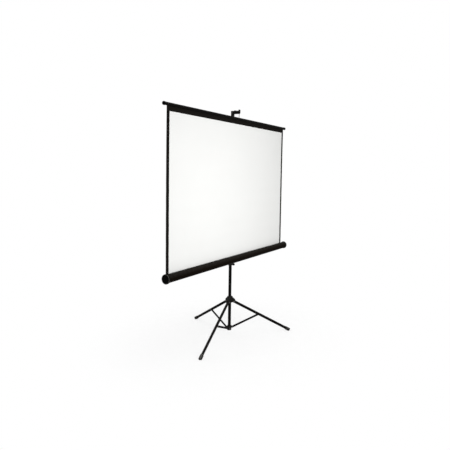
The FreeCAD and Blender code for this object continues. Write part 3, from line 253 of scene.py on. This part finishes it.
wear_group, wear_in, wear_out = new_group("edge_wear", {"Width": 0.001, "Amount": 0.5}, ("Mask",))
wear_round = wear_group.nodes.new("ShaderNodeBevel")
wear_round.samples = WEAR_SAMPLES
wear_group.links.new(wear_in.outputs["Width"], wear_round.inputs["Radius"])
wear_face = wear_group.nodes.new("ShaderNodeNewGeometry")
wear_dot = wear_group.nodes.new("ShaderNodeVectorMath")
wear_dot.operation = "DOT_PRODUCT"
wear_group.links.new(wear_round.outputs["Normal"], wear_dot.inputs[0])
wear_group.links.new(wear_face.outputs["Normal"], wear_dot.inputs[1])
wear_edge = math_node(wear_group, "SUBTRACT", 1.0, wear_dot.outputs["Value"])
wear_noise = noise_node(wear_group, WEAR_PATCH_SIZE, WEAR_PATCH_DETAIL)
wear_patchy = math_node(wear_group, "SUBTRACT", wear_noise, WEAR_PATCH_FLOOR)
wear_product = math_node(wear_group, "MULTIPLY", wear_edge, wear_patchy)
wear_scaled = math_node(wear_group, "MULTIPLY", wear_product, WEAR_GAIN)
wear_clamp = wear_group.nodes.new("ShaderNodeClamp")
wear_group.links.new(wear_scaled, wear_clamp.inputs["Value"])
wear_group.links.new(math_node(wear_group, "MULTIPLY", wear_clamp.outputs[0],
                               wear_in.outputs["Amount"]), wear_out.inputs["Mask"])

# Pale grey on what faces up: settled dust, and a painted highlight of light from above.
dust_and_sheen_group, dust_and_sheen_in, dust_and_sheen_out = new_group("dust", {"Size": 0.03, "Amount": 0.2}, ("Mask",))
dust_and_sheen_face = dust_and_sheen_group.nodes.new("ShaderNodeNewGeometry")
dust_and_sheen_split = dust_and_sheen_group.nodes.new("ShaderNodeSeparateXYZ")
dust_and_sheen_group.links.new(dust_and_sheen_face.outputs["Normal"], dust_and_sheen_split.inputs[0])
dust_and_sheen_up = math_node(dust_and_sheen_group, "MAXIMUM", dust_and_sheen_split.outputs["Z"], 0.0)
dust_and_sheen_patchy = noise_node(dust_and_sheen_group, dust_and_sheen_in.outputs["Size"], DUST_AND_SHEEN_DETAIL)
dust_and_sheen_product = math_node(dust_and_sheen_group, "MULTIPLY", dust_and_sheen_up, dust_and_sheen_patchy)
dust_and_sheen_group.links.new(math_node(dust_and_sheen_group, "MULTIPLY", dust_and_sheen_product, dust_and_sheen_in.outputs["Amount"]),
                     dust_and_sheen_out.inputs["Mask"])


def place_group(tree, group, **values):
    """A group placed in a material with its own values."""
    node = tree.nodes.new("ShaderNodeGroup")
    node.node_tree = group
    for socket, value in values.items():
        node.inputs[socket].default_value = value
    return node.outputs[0]


def mix_colour(tree, mask, first, second):
    """A colour that goes from first to second with the mask."""
    node = tree.nodes.new("ShaderNodeMix")
    node.data_type = "RGBA"
    tree.links.new(mask, node.inputs["Factor"])
    for socket, colour in (("A", first), ("B", second)):
        target = [item for item in node.inputs if item.name == socket and item.type == "RGBA"][0]
        if isinstance(colour, tuple):
            target.default_value = (*colour, 1)
        else:
            tree.links.new(colour, target)
    return [item for item in node.outputs if item.type == "RGBA"][0]


def mix_value(tree, mask, first, second):
    """A number that goes from first to second with the mask."""
    node = tree.nodes.new("ShaderNodeMapRange")
    tree.links.new(mask, node.inputs["Value"])
    node.inputs["To Min"].default_value = first
    node.inputs["To Max"].default_value = second
    return node.outputs["Result"]


def bump(tree, height, depth):
    """A bump of the given depth in metres."""
    node = tree.nodes.new("ShaderNodeBump")
    node.inputs["Distance"].default_value = depth
    tree.links.new(height, node.inputs["Height"])
    return node.outputs["Normal"]


PATCH_SIZE = 0.05
PATCH_DETAIL = 4.0
DEEPER_SHARE = 0.75
GLOSSIER, DULLER = 0.05, 0.07
WEAR_WIDTH = 0.0026
DUST_AND_SHEEN_SIZE = 0.03
DUST_AND_SHEEN_GREY = (0.30, 0.29, 0.27)


def coated(name, colour, worn, roughness, peel_size, peel_depth, shine, dust, wear):
    """A painted or moulded finish: patchy gloss, fine relief, worn edges, and a pale grey on what faces
    up that is settled dirt and a painted highlight.
    """
    material = bpy.data.materials.new(name)
    material.use_nodes = True
    tree = material.node_tree
    shader = tree.nodes["Principled BSDF"]
    patches = noise_node(tree, PATCH_SIZE, PATCH_DETAIL)
    deeper = tuple(part * DEEPER_SHARE for part in colour)
    tone = mix_colour(tree, patches, deeper, colour)
    worn_mask = place_group(tree, wear_group, Width=WEAR_WIDTH, Amount=wear)
    tone = mix_colour(tree, worn_mask, tone, worn)
    # Upward faces are paled with grey. This is settled dust, and also a painted highlight where light
    # falls from above.
    dust_and_sheen_mask = place_group(tree, dust_and_sheen_group, Size=DUST_AND_SHEEN_SIZE, Amount=dust)
    tone = mix_colour(tree, dust_and_sheen_mask, tone, DUST_AND_SHEEN_GREY)
    tree.links.new(tone, shader.inputs["Base Color"])
    tree.links.new(mix_value(tree, patches, roughness - GLOSSIER, roughness + DULLER),
                   shader.inputs["Roughness"])
    tree.links.new(bump(tree, place_group(tree, grain_group, Size=peel_size), peel_depth),
                   shader.inputs["Normal"])
    shader.inputs["Specular IOR Level"].default_value = shine
    return material


BLACK_ENAMEL = (0.0052, 0.0047, 0.0041)
WORN_STEEL = (0.20, 0.19, 0.18)
# The grey on its upward faces is partly dust and partly a painted highlight of light from above.
black_enamel = coated("black_enamel", BLACK_ENAMEL, WORN_STEEL, roughness=0.36, peel_size=0.0022,
                      peel_depth=0.00003, shine=0.012, dust=0.07, wear=0.45)


def dress(material, *nodes):
    """Gives CAD nodes their finish."""
    for name in nodes:
        mesh = frame["nodes"][name].data
        mesh.materials.clear()
        mesh.materials.append(material)


dress(black_enamel, "lower_tube", "mast_tube", "extension_tube", "leg_1", "leg_2", "leg_3",
      "case_hanger", "top_bar", "hook_arm", "pull_loop")

# Moulded fittings: clamp collars, brace collar, leg hub, case bracket and head block.
# They are black glass-filled nylon, with soft edges and a fine spark-eroded grain.
NYLON_BLACK = (0.0090, 0.0083, 0.0074)
NYLON_RUBBED = (0.115, 0.110, 0.104)
MOULDED_EDGE = 0.0009
EDGE_STEPS = 2
WELD_GAP = 0.000002
FLAT_ANGLE = math.radians(0.5)
SHARP_ANGLE = math.radians(40)
SMOOTH_ANGLE = math.radians(35)
nylon = coated("black_nylon", NYLON_BLACK, NYLON_RUBBED, roughness=0.46, peel_size=0.0006,
               peel_depth=0.00004, shine=0.045, dust=0.05, wear=0.7)


def rounded_copy(node, name, width, material):
    """A copy of a CAD piece with its sharp edges rounded off, which stands for it."""
    source = frame["nodes"][node]
    piece = bpy.data.objects.new(name, source.data.copy())
    bpy.context.scene.collection.objects.link(piece)
    bpy.ops.object.select_all(action="DESELECT")
    piece.select_set(True)
    bpy.context.view_layer.objects.active = piece
    bpy.ops.object.mode_set(mode="EDIT")
    bpy.ops.mesh.select_all(action="SELECT")
    bpy.ops.mesh.remove_doubles(threshold=WELD_GAP)
    bpy.ops.mesh.dissolve_limited(angle_limit=FLAT_ANGLE)
    bpy.ops.object.mode_set(mode="OBJECT")
    edges = piece.modifiers.new("edges", "BEVEL")
    edges.width = width
    edges.segments = EDGE_STEPS
    edges.limit_method = "ANGLE"
    edges.angle_limit = SHARP_ANGLE
    edges.miter_outer = "MITER_ARC"
    bpy.ops.object.modifier_apply(modifier="edges")
    bpy.ops.object.shade_smooth_by_angle(angle=SMOOTH_ANGLE)
    piece.data.materials.clear()
    piece.data.materials.append(material)
    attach(piece, source["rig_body"])
    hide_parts(node)
    return piece


for node in ("base_collar", "clamp_collar", "upper_collar", "leg_hub", "case_bracket", "head_block"):
    rounded_copy(node, f"{node}_moulding", MOULDED_EDGE, nylon)
dress(nylon, "base_plug", "clamp_bush", "upper_bush", "mast_guide", "extension_guide",
      "roller_plug_left", "roller_plug_right")

# Thumb screws: fluted grips moulded on zinc-plated studs.
# The grips are the same nylon, polished a little by use.
GRIP_EDGE = 0.0005
grip_nylon = coated("grip_nylon", NYLON_BLACK, NYLON_RUBBED, roughness=0.36, peel_size=0.0008,
                    peel_depth=0.00002, shine=0.06, dust=0.04, wear=0.9)
for node in ("lower_knob", "hub_knob", "upper_knob"):
    rounded_copy(node, f"{node}_grip", GRIP_EDGE, grip_nylon)

# Fasteners, shafts and roller: zinc-plated steel, and drawn aluminium for the roller's tube.
# The metal has a fine grain and dull patches, and the small heads have gone duller.
DULL_PATCH_DETAIL = 5.0
DULL_SHARE = 0.72
DULL_ROUGHER, BRIGHT_SMOOTHER = 0.10, 0.06
PLATE_GRAIN = 0.0005
PLATE_RELIEF = 0.000008


def bright_metal(name, colour, roughness, patch_size):
    """Plated or drawn metal with dull patches and a fine grain."""
    material = bpy.data.materials.new(name)
    material.use_nodes = True
    tree = material.node_tree
    shader = tree.nodes["Principled BSDF"]
    patches = noise_node(tree, patch_size, DULL_PATCH_DETAIL)
    duller = tuple(part * DULL_SHARE for part in colour)
    tree.links.new(mix_colour(tree, patches, duller, colour), shader.inputs["Base Color"])
    tree.links.new(mix_value(tree, patches, roughness + DULL_ROUGHER, roughness - BRIGHT_SMOOTHER),
                   shader.inputs["Roughness"])
    tree.links.new(bump(tree, place_group(tree, grain_group, Size=PLATE_GRAIN), PLATE_RELIEF),
                   shader.inputs["Normal"])
    shader.inputs["Metallic"].default_value = 1.0
    return material


ZINC = (0.52, 0.51, 0.49)
OLD_ZINC = (0.15, 0.147, 0.142)
ALUMINIUM = (0.72, 0.72, 0.73)
zinc = bright_metal("zinc_plate", ZINC, roughness=0.34, patch_size=0.006)
dress(zinc, "lower_stud", "hub_stud", "upper_stud", "pivot_bolt", "spring_shaft", "idle_pin",
      "bar_batten")
dull_zinc = bright_metal("dull_zinc", OLD_ZINC, roughness=0.42, patch_size=0.003)
dress(dull_zinc, "collar_pins", "hub_pins", "brace_rivet_1", "brace_rivet_2", "brace_rivet_3",
      "bracket_screws", "hanger_rivets", "cap_screws", "arm_pins")
mill_aluminium = bright_metal("mill_aluminium", ALUMINIUM, roughness=0.30, patch_size=0.02)
dress(mill_aluminium, "roller_tube")

# Braces: shallow steel channels, pressed and punched for their pins and rivets.
# They have a thin satin coat of black, a little thinner on their edges.
BRACE_BLACK = (0.0036, 0.0034, 0.0032)
BRACE_WORN = (0.06, 0.057, 0.054)
brace_satin = coated("brace_satin", BRACE_BLACK, BRACE_WORN, roughness=0.45, peel_size=0.0015,
                     peel_depth=0.00001, shine=0.012, dust=0.01, wear=0.15)
dress(brace_satin, "brace_1", "brace_2", "brace_3")

# Feet: rubber boots pulled over the ends of the legs, ribbed round and flat under.
# The rubber is scuffed grey, and dusty towards the floor.
FOOT_REACH = 0.578
FOOT_HEIGHT = 0.006
BOOT_LENGTH = 0.042
BOOT_WIDTH = 0.024
BOOT_DEPTH = 0.029
BOOT_CORNER = 0.006
BOOT_CORNER_STEPS = 5
BOOT_LIP = 0.0024
BOOT_MOUTH_DEPTH = 0.0015
RIB_STARTS = (0.008, 0.013, 0.018)
RIB_GROOVE = 0.0022
RIB_SLOPE = 0.0006
RIB_DEPTH_SHARE = 0.92
SOLE_INSET = 0.0015
SOLE_HOLLOW = 0.0008
NEARLY_SQUARE = 0.9
SQUARE = 0.99
BOOT_SMOOTH_ANGLE = math.radians(40)
RUBBER_BLACK = (0.022, 0.021, 0.020)
RUBBER_SCUFFED = (0.16, 0.155, 0.15)
rubber = coated("boot_rubber", RUBBER_BLACK, RUBBER_SCUFFED, roughness=0.72, peel_size=0.0010,
                peel_depth=0.00005, shine=0.10, dust=0.45, wear=0.9)


def select_where(piece, kind, wanted):
    """Selects the vertices, edges or faces that a test on their middles and normals picks."""
    mesh = bmesh.from_edit_mesh(piece.data)
    bpy.ops.mesh.select_all(action="DESELECT")
    for item in getattr(mesh, kind):
        if wanted(item):
            item.select_set(True)
    mesh.select_flush_mode()
    bmesh.update_edit_mesh(piece.data)


def start_piece(name, size=(1, 1, 1)):
    """Names and sizes the primitive just added, bakes its place into its mesh and opens it."""
    piece = bpy.context.object
    piece.name = name
    piece.scale = size
    bpy.ops.object.transform_apply(location=True, rotation=True, scale=True)
    bpy.ops.object.mode_set(mode="EDIT")
    return piece


def boot(name, hinge):
    """One boot, made along the X axis of its leg and then turned into place."""
    pivot = Vector(hinge["pos_m"])
    along_pin = Vector(hinge["axis"])
    outward = along_pin.cross(Vector((0, 0, 1)))
    tip = post_foot + outward * FOOT_REACH + Vector((0, 0, FOOT_HEIGHT))
    down_leg = (tip - pivot).normalized()
    leg_length = (tip - pivot).length
    start = leg_length - BOOT_LENGTH
    bpy.ops.object.select_all(action="DESELECT")
    bpy.ops.mesh.primitive_cube_add(size=1, location=(leg_length - BOOT_LENGTH / 2, 0, 0))
    piece = start_piece(name, (BOOT_LENGTH, BOOT_WIDTH, BOOT_DEPTH))
    bpy.ops.mesh.select_mode(type="EDGE")
    select_where(piece, "edges", lambda edge: abs(edge.verts[0].co.x - edge.verts[1].co.x)
                 > BOOT_LENGTH / 2)
    bpy.ops.mesh.bevel(offset=BOOT_CORNER, segments=BOOT_CORNER_STEPS, affect="EDGES")
    for rib in RIB_STARTS:
        for place in (rib, rib + RIB_SLOPE, rib + RIB_GROOVE - RIB_SLOPE, rib + RIB_GROOVE):
            bpy.ops.mesh.select_all(action="SELECT")
            bpy.ops.mesh.bisect(plane_co=(start + place, 0, 0), plane_no=(1, 0, 0))
    bpy.ops.mesh.select_mode(type="VERT")
    for rib in RIB_STARTS:
        low, high = start + rib + RIB_SLOPE / 2, start + rib + RIB_GROOVE - RIB_SLOPE / 2
        select_where(piece, "verts", lambda corner: low < corner.co.x < high)
        bpy.ops.transform.resize(value=(1, RIB_DEPTH_SHARE, RIB_DEPTH_SHARE),
                                 center_override=(start, 0, 0))
    bpy.ops.mesh.select_mode(type="FACE")
    select_where(piece, "faces", lambda face: face.normal.x < -NEARLY_SQUARE
                 and face.calc_center_median().x < start + RIB_SLOPE)
    bpy.ops.mesh.inset(thickness=BOOT_LIP, depth=-BOOT_MOUTH_DEPTH)
    bpy.ops.object.mode_set(mode="OBJECT")
    side = down_leg.cross(along_pin)
    turn = Matrix((down_leg, along_pin, side)).transposed().to_4x4()
    piece.data.transform(Matrix.Translation(pivot) @ turn)
    bpy.ops.object.mode_set(mode="EDIT")
    bpy.ops.mesh.select_all(action="SELECT")
    bpy.ops.mesh.bisect(plane_co=(0, 0, 0), plane_no=(0, 0, 1), use_fill=True, clear_inner=True)
    select_where(piece, "faces", lambda face: face.normal.z < -SQUARE
                 and abs(face.calc_center_median().z) < SOLE_HOLLOW / 4)
    bpy.ops.mesh.inset(thickness=SOLE_INSET, depth=-SOLE_HOLLOW)
    bpy.ops.mesh.select_all(action="SELECT")
    bpy.ops.mesh.normals_make_consistent(inside=False)
    bpy.ops.object.mode_set(mode="OBJECT")
    bpy.ops.object.shade_smooth_by_angle(angle=BOOT_SMOOTH_ANGLE)
    piece.data.materials.append(rubber)
    return piece


hinges = {joint["name"]: joint for joint in frame["joints"]}
for number in (1, 2, 3):
    piece = boot(f"rubber_boot_{number}", hinges[f"leg_{number}_fold"])
    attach(piece, f"leg_{number}")
    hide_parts(f"foot_{number}")

# Case: a rolled steel tube in brown-black enamel, closed by moulded caps.
# The caps are blacker than the tube, and a pale ring is painted round each rim as the highlight of its
# rounded edge.
# The caps of the top bar are moulded from the same plastic, without the painted ring.
CASE_BROWN = (0.0058, 0.0040, 0.0025)
CAP_BLACK = (0.0012, 0.0011, 0.0010)
CAP_WORN = (0.05, 0.048, 0.045)
RIM_HIGHLIGHT = (0.12, 0.115, 0.106)
RIM_INSET = 0.0010
RIM_HIGHLIGHT_WIDTH = 0.0024
# Its grey on top is laid on thick enough to be a painted highlight along the case's upper side, as well
# as dust.
case_enamel = coated("case_enamel", CASE_BROWN, WORN_STEEL, roughness=0.36, peel_size=0.0025,
                     peel_depth=0.00003, shine=0.003, dust=0.07, wear=0.25)
cap_plastic, rubbed_cap = (
    coated(name, CAP_BLACK, CAP_WORN, roughness=0.36, peel_size=0.0010, peel_depth=0.00002,
           shine=0.012, dust=0.02, wear=0.5)
    for name in ("cap_plastic", "rubbed_cap"))
cap_low, cap_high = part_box("case_cap_left")
cap_middle = (cap_low + cap_high) / 2
cap_radius = (cap_high.z - cap_low.z) / 2


def diagonal(tree, first, second):
    """The length of a line that runs first along one way and second across it."""
    squares = [math_node(tree, "MULTIPLY", part, part) for part in (first, second)]
    return math_node(tree, "SQRT", math_node(tree, "ADD", *squares))


# A pale ring painted round the rim of each case cap: a painted highlight on its rounded edge.
rim_tree = rubbed_cap.node_tree
rim_place = rim_tree.nodes.new("ShaderNodeTexCoord")
rim_split = rim_tree.nodes.new("ShaderNodeSeparateXYZ")
rim_tree.links.new(rim_place.outputs["Object"], rim_split.inputs[0])
rim_out = math_node(rim_tree, "ABSOLUTE", rim_split.outputs["X"])
rim_along = math_node(rim_tree, "SUBTRACT", rim_out, -cap_low.x - RIM_INSET)
rim_radius = diagonal(rim_tree, math_node(rim_tree, "SUBTRACT", rim_split.outputs["Y"], cap_middle.y),
                      math_node(rim_tree, "SUBTRACT", rim_split.outputs["Z"], cap_middle.z))
rim_across = math_node(rim_tree, "SUBTRACT", rim_radius, cap_radius - RIM_INSET)
rim_off = math_node(rim_tree, "DIVIDE", diagonal(rim_tree, rim_along, rim_across), RIM_HIGHLIGHT_WIDTH)
rim_highlight_share = math_node(rim_tree, "SUBTRACT", 1.0, rim_off)
rim_highlight_mask = rim_tree.nodes.new("ShaderNodeClamp")
rim_tree.links.new(rim_highlight_share, rim_highlight_mask.inputs["Value"])
rim_shader = rim_tree.nodes["Principled BSDF"]
cap_tone = rim_shader.inputs["Base Color"].links[0].from_socket
rim_tree.links.new(mix_colour(rim_tree, rim_highlight_mask.outputs[0], cap_tone, RIM_HIGHLIGHT),
                   rim_shader.inputs["Base Color"])
dress(case_enamel, "case_tube")
dress(rubbed_cap, "case_cap_left", "case_cap_right")
dress(cap_plastic, "bar_cap_left", "bar_cap_right")

# Counter spring: oiled steel wire wound round the spring shaft, inside the roller.
# Its left end grips the shaft and its right end the roller's plug.
spring_low, spring_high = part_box("roller_spring")
SPRING_TURNS = 96
SPRING_WIRE = 0.0011
SPRING_WIRE_SIDES = 8
SPRING_STEPS = 14
OILED_STEEL = (0.30, 0.29, 0.28)
spring_middle = (spring_low + spring_high) / 2
spring_radius = (spring_high.z - spring_low.z) / 2 - SPRING_WIRE
spring_pitch = (spring_high.x - spring_low.x - 2 * SPRING_WIRE) / SPRING_TURNS
bpy.ops.object.select_all(action="DESELECT")
bpy.ops.mesh.primitive_circle_add(vertices=SPRING_WIRE_SIDES, radius=SPRING_WIRE,
                                  location=(0, spring_radius, 0))
spring = start_piece("counter_spring")
bpy.ops.object.mode_set(mode="OBJECT")
coil = spring.modifiers.new("coil", "SCREW")
coil.axis = "X"
coil.angle = 2 * math.pi
coil.screw_offset = spring_pitch
coil.iterations = SPRING_TURNS
coil.steps = SPRING_STEPS
coil.render_steps = SPRING_STEPS
coil.use_smooth_shade = True
bpy.ops.object.modifier_apply(modifier="coil")
spring.data.transform(Matrix.Translation((spring_low.x + SPRING_WIRE, spring_middle.y, spring_middle.z)))
bpy.ops.object.mode_set(mode="EDIT")
bpy.ops.mesh.select_all(action="SELECT")
bpy.ops.mesh.edge_face_add()
bpy.ops.object.mode_set(mode="OBJECT")
spring_mesh = bmesh.new()
spring_mesh.from_mesh(spring.data)
bmesh.ops.recalc_face_normals(spring_mesh, faces=spring_mesh.faces)
spring_mesh.to_mesh(spring.data)
spring_mesh.free()
oiled_steel = bright_metal("oiled_steel", OILED_STEEL, roughness=0.30, patch_size=0.01)
spring.data.materials.append(oiled_steel)
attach(spring, "roller")
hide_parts("roller_spring")

# Screen cloth: coated glass cloth, matt white in front and charcoal behind.
# Its sides have a printed black border, and a black leader joins it to the top bar.
BORDER_WIDTH = 0.030
WHITE_TOP = 1.9475
CLOTH_THICKNESS = 0.0006
CLOTH_COLUMNS = 66
CLOTH_ROWS = 46
UPRIGHT = (math.radians(90), 0, 0)
NEAR = 0.0001
EDGE_CURL = 0.0022
EDGE_CURL_POWER = 6
SLACK_WAVE = 0.0011
SLACK_HALF_WAVES_ACROSS = 3.1
SLACK_HALF_WAVES_UP = 1.3
SLACK_SHIFT = 0.8
ROLL_SET = 0.0006
ROLL_SET_HALF_WAVES = 18
HELD_POWER = 0.8
CLOTH_WHITE = (0.86, 0.862, 0.848)
CLOTH_SHADE = (0.825, 0.828, 0.812)
BORDER_BLACK = (0.0082, 0.0072, 0.0060)
BACKING = (0.035, 0.035, 0.036)
BACKING_SHADE = (0.028, 0.028, 0.0288)
THREAD = 0.0008
WEAVE_FUZZ_SIZE = 0.0004
WEAVE_FUZZ_SHARE = 0.6
CLOUD_SIZE = 0.35
CLOUD_DETAIL = 3.0
CLOUD_GLOSS = 0.03
cloth_low, cloth_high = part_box("screen_cloth")

weave_group, weave_in, weave_out = new_group("weave", {"Thread": THREAD}, ("Height",))
weave_place = weave_group.nodes.new("ShaderNodeTexCoord")
weave_split = weave_group.nodes.new("ShaderNodeSeparateXYZ")
weave_group.links.new(weave_place.outputs["Object"], weave_split.inputs[0])
weave_turns = math_node(weave_group, "DIVIDE", math.pi, weave_in.outputs["Thread"])
weave_waves = []
for axis in ("X", "Z"):
    phase = math_node(weave_group, "MULTIPLY", weave_split.outputs[axis], weave_turns)
    weave_waves.append(math_node(weave_group, "SINE", phase))
weave_cross = math_node(weave_group, "MULTIPLY", *weave_waves)
weave_fuzz = noise_node(weave_group, WEAVE_FUZZ_SIZE)
weave_rough = math_node(weave_group, "MULTIPLY", weave_fuzz, WEAVE_FUZZ_SHARE)
weave_group.links.new(math_node(weave_group, "ADD", weave_cross, weave_rough),
                      weave_out.inputs["Height"])


def woven(name, colour, shade, roughness, thread, relief, shine):
    """Coated cloth: a fine weave under the coat, and soft cloudy patches."""
    material = bpy.data.materials.new(name)
    material.use_nodes = True
    tree = material.node_tree
    shader = tree.nodes["Principled BSDF"]
    clouds = noise_node(tree, CLOUD_SIZE, CLOUD_DETAIL)
    tree.links.new(mix_colour(tree, clouds, shade, colour), shader.inputs["Base Color"])
    tree.links.new(mix_value(tree, clouds, roughness - CLOUD_GLOSS, roughness + CLOUD_GLOSS),
                   shader.inputs["Roughness"])
    tree.links.new(bump(tree, place_group(tree, weave_group, Thread=thread), relief),
                   shader.inputs["Normal"])
    shader.inputs["Specular IOR Level"].default_value = shine
    return material


white_cloth = woven("white_cloth", CLOTH_WHITE, CLOTH_SHADE, roughness=0.88, thread=THREAD,
                    relief=0.00003, shine=0.2)
black_cloth = woven("black_cloth", BORDER_BLACK, BORDER_BLACK, roughness=0.80, thread=THREAD,
                    relief=0.00003, shine=0.02)
cloth_backing = woven("cloth_backing", BACKING, BACKING_SHADE, roughness=0.85, thread=THREAD,
                      relief=0.00005, shine=0.2)

white_left = cloth_low.x + BORDER_WIDTH
white_right = cloth_high.x - BORDER_WIDTH
cloth_middle = (cloth_low + cloth_high) / 2
bpy.ops.object.select_all(action="DESELECT")
bpy.ops.mesh.primitive_grid_add(
    x_subdivisions=CLOTH_COLUMNS, y_subdivisions=CLOTH_ROWS, size=1,
    location=(cloth_middle.x, cloth_middle.y, (cloth_low.z + WHITE_TOP) / 2), rotation=UPRIGHT)
cloth = start_piece("screen_sheet", (white_right - white_left, WHITE_TOP - cloth_low.z, 1))
bpy.ops.mesh.select_mode(type="EDGE")
for side, reach in ((white_left, -BORDER_WIDTH), (white_right, BORDER_WIDTH)):
    select_where(cloth, "edges", lambda edge: all(abs(end.co.x - side) < NEAR for end in edge.verts))
    bpy.ops.mesh.extrude_region_move(TRANSFORM_OT_translate={"value": (reach, 0, 0)})
select_where(cloth, "edges", lambda edge: all(abs(end.co.z - WHITE_TOP) < NEAR for end in edge.verts))
bpy.ops.mesh.extrude_region_move(
    TRANSFORM_OT_translate={"value": (0, 0, cloth_high.z - WHITE_TOP)})
bpy.ops.mesh.select_all(action="SELECT")
bpy.ops.mesh.normals_make_consistent(inside=False)
bpy.ops.object.mode_set(mode="OBJECT")
for material in (white_cloth, black_cloth, cloth_backing, cloth_backing):
    cloth.data.materials.append(material)
for face in cloth.data.polygons:
    middle = face.center
    in_white = white_left < middle.x < white_right and middle.z < WHITE_TOP
    face.material_index = 0 if in_white else 1
cloth_half = (cloth_high.x - cloth_low.x) / 2
cloth_drop = WHITE_TOP - cloth_low.z
for corner in cloth.data.vertices:
    across = (corner.co.x - cloth_middle.x) / cloth_half
    height = min(max((corner.co.z - cloth_low.z) / cloth_drop, 0), 1)
    held = math.sin(math.pi * height) ** HELD_POWER
    curl = EDGE_CURL * abs(across) ** EDGE_CURL_POWER
    wave_across = math.sin(math.pi * SLACK_HALF_WAVES_ACROSS * across + SLACK_SHIFT)
    slack = SLACK_WAVE * wave_across * math.sin(math.pi * SLACK_HALF_WAVES_UP * height)
    ripple = ROLL_SET * math.sin(math.pi * ROLL_SET_HALF_WAVES * height) * (1 - height)
    corner.co.y += held * (curl + slack + ripple)
if cloth.data.polygons[0].normal.y > 0:
    cloth.data.flip_normals()
bpy.context.view_layer.objects.active = cloth
layers = cloth.modifiers.new("layers", "SOLIDIFY")
layers.thickness = CLOTH_THICKNESS
layers.offset = 0
layers.material_offset = 2
layers.material_offset_rim = 1
bpy.ops.object.modifier_apply(modifier="layers")
bpy.ops.object.shade_smooth_by_angle(angle=SMOOTH_ANGLE)
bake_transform(cloth)
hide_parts("screen_cloth")

# Cloth left on the roller: the same cloth, wound in a flat spiral with its printed edges.
# It is one long strip, from the roller's surface out to where the pulled-out part leaves it.
WOUND_TURNS = 7
STEPS_PER_TURN = 40
ROLLER_CLEARANCE = 0.0003
WOUND_THICKNESS = 0.0003
GRID_INSIDE = 0.4
GRID_OUTSIDE = 1
roller_low, roller_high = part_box("roller_tube")
wound_low, wound_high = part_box("cloth_roll")
roller_middle = (roller_low + roller_high) / 2
inner_radius = (roller_high.z - roller_low.z) / 2 + ROLLER_CLEARANCE
outer_radius = (wound_high.z - wound_low.z) / 2 - CLOTH_THICKNESS / 2
bpy.ops.object.select_all(action="DESELECT")
bpy.ops.mesh.primitive_grid_add(x_subdivisions=1, y_subdivisions=WOUND_TURNS * STEPS_PER_TURN,
                                size=1, location=(0, 0, 0))
wound = start_piece("wound_cloth")
bpy.ops.mesh.select_mode(type="EDGE")
for side in (-1, 1):
    select_where(wound, "edges", lambda edge: all(end.co.x * side > GRID_INSIDE for end in edge.verts))
    bpy.ops.mesh.extrude_region_move(TRANSFORM_OT_translate={"value": (side, 0, 0)})
bpy.ops.object.mode_set(mode="OBJECT")
for face in wound.data.polygons:
    face.material_index = 0 if abs(face.center.x) < GRID_INSIDE else 1
for corner in wound.data.vertices:
    turned_share = corner.co.y + 1 / 2
    radius = inner_radius + (outer_radius - inner_radius) * turned_share
    angle = turned_share * WOUND_TURNS * 2 * math.pi
    side = math.copysign(1, corner.co.x)
    reach = cloth_half if abs(corner.co.x) > GRID_OUTSIDE else cloth_half - BORDER_WIDTH
    corner.co = (roller_middle.x + side * reach, roller_middle.y + radius * math.cos(angle),
                 roller_middle.z + radius * math.sin(angle))
bpy.context.view_layer.objects.active = wound
winding = wound.modifiers.new("winding", "SOLIDIFY")
winding.thickness = WOUND_THICKNESS
winding.offset = 0
bpy.ops.object.modifier_apply(modifier="winding")
bpy.ops.object.shade_smooth_by_angle(angle=SMOOTH_ANGLE)
wound.data.materials.append(white_cloth)
wound.data.materials.append(black_cloth)
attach(wound, "roller")
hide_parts("cloth_roll")

# Slot strips: short black pile glued along both lips of the case's slot.
# Each tuft stands a little out of line, so that the strip's edge looks brushed.
PILE_TUFTS = 440
PILE_ROWS = 4
PILE_RAGGED = 0.0005
PILE_SEED = 7
STRIP_THICKNESS = 0.0018
PLUSH_BLACK = (0.006, 0.006, 0.006)
PLUSH_SHADE = (0.004, 0.004, 0.004)
plush_black = woven("plush_black", PLUSH_BLACK, PLUSH_SHADE, roughness=0.95, thread=0.0005,
                    relief=0.0002, shine=0.2)
strip_low, strip_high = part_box("slot_strips")
strip_middle = (strip_low + strip_high) / 2
strips_half_width = (strip_high.y - strip_low.y) / 2
random.seed(PILE_SEED)
for word, side in (("front", -1), ("back", 1)):
    edge = strip_middle.y + side * (strips_half_width - STRIP_THICKNESS / 2)
    bpy.ops.object.select_all(action="DESELECT")
    bpy.ops.mesh.primitive_grid_add(
        x_subdivisions=PILE_TUFTS, y_subdivisions=PILE_ROWS, size=1,
        location=(strip_middle.x, edge, strip_middle.z), rotation=UPRIGHT)
    pile_height = strip_high.z - strip_low.z - 2 * PILE_RAGGED
    strip = start_piece(f"pile_strip_{word}", (strip_high.x - strip_low.x, pile_height, 1))
    bpy.ops.object.mode_set(mode="OBJECT")
    for corner in strip.data.vertices:
        corner.co.y += random.uniform(-PILE_RAGGED, PILE_RAGGED) / 2
        if corner.co.z > strip_middle.z:
            corner.co.z += random.uniform(-PILE_RAGGED, PILE_RAGGED)
    pile = strip.modifiers.new("pile", "SOLIDIFY")
    pile.thickness = STRIP_THICKNESS - PILE_RAGGED
    pile.offset = 0
    bpy.ops.object.modifier_apply(modifier="pile")
    strip.data.materials.append(plush_black)
    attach(strip, "mast")
    if side > 0:
        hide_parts("slot_strips")

bpy.context.scene.view_settings.view_transform = "Standard"
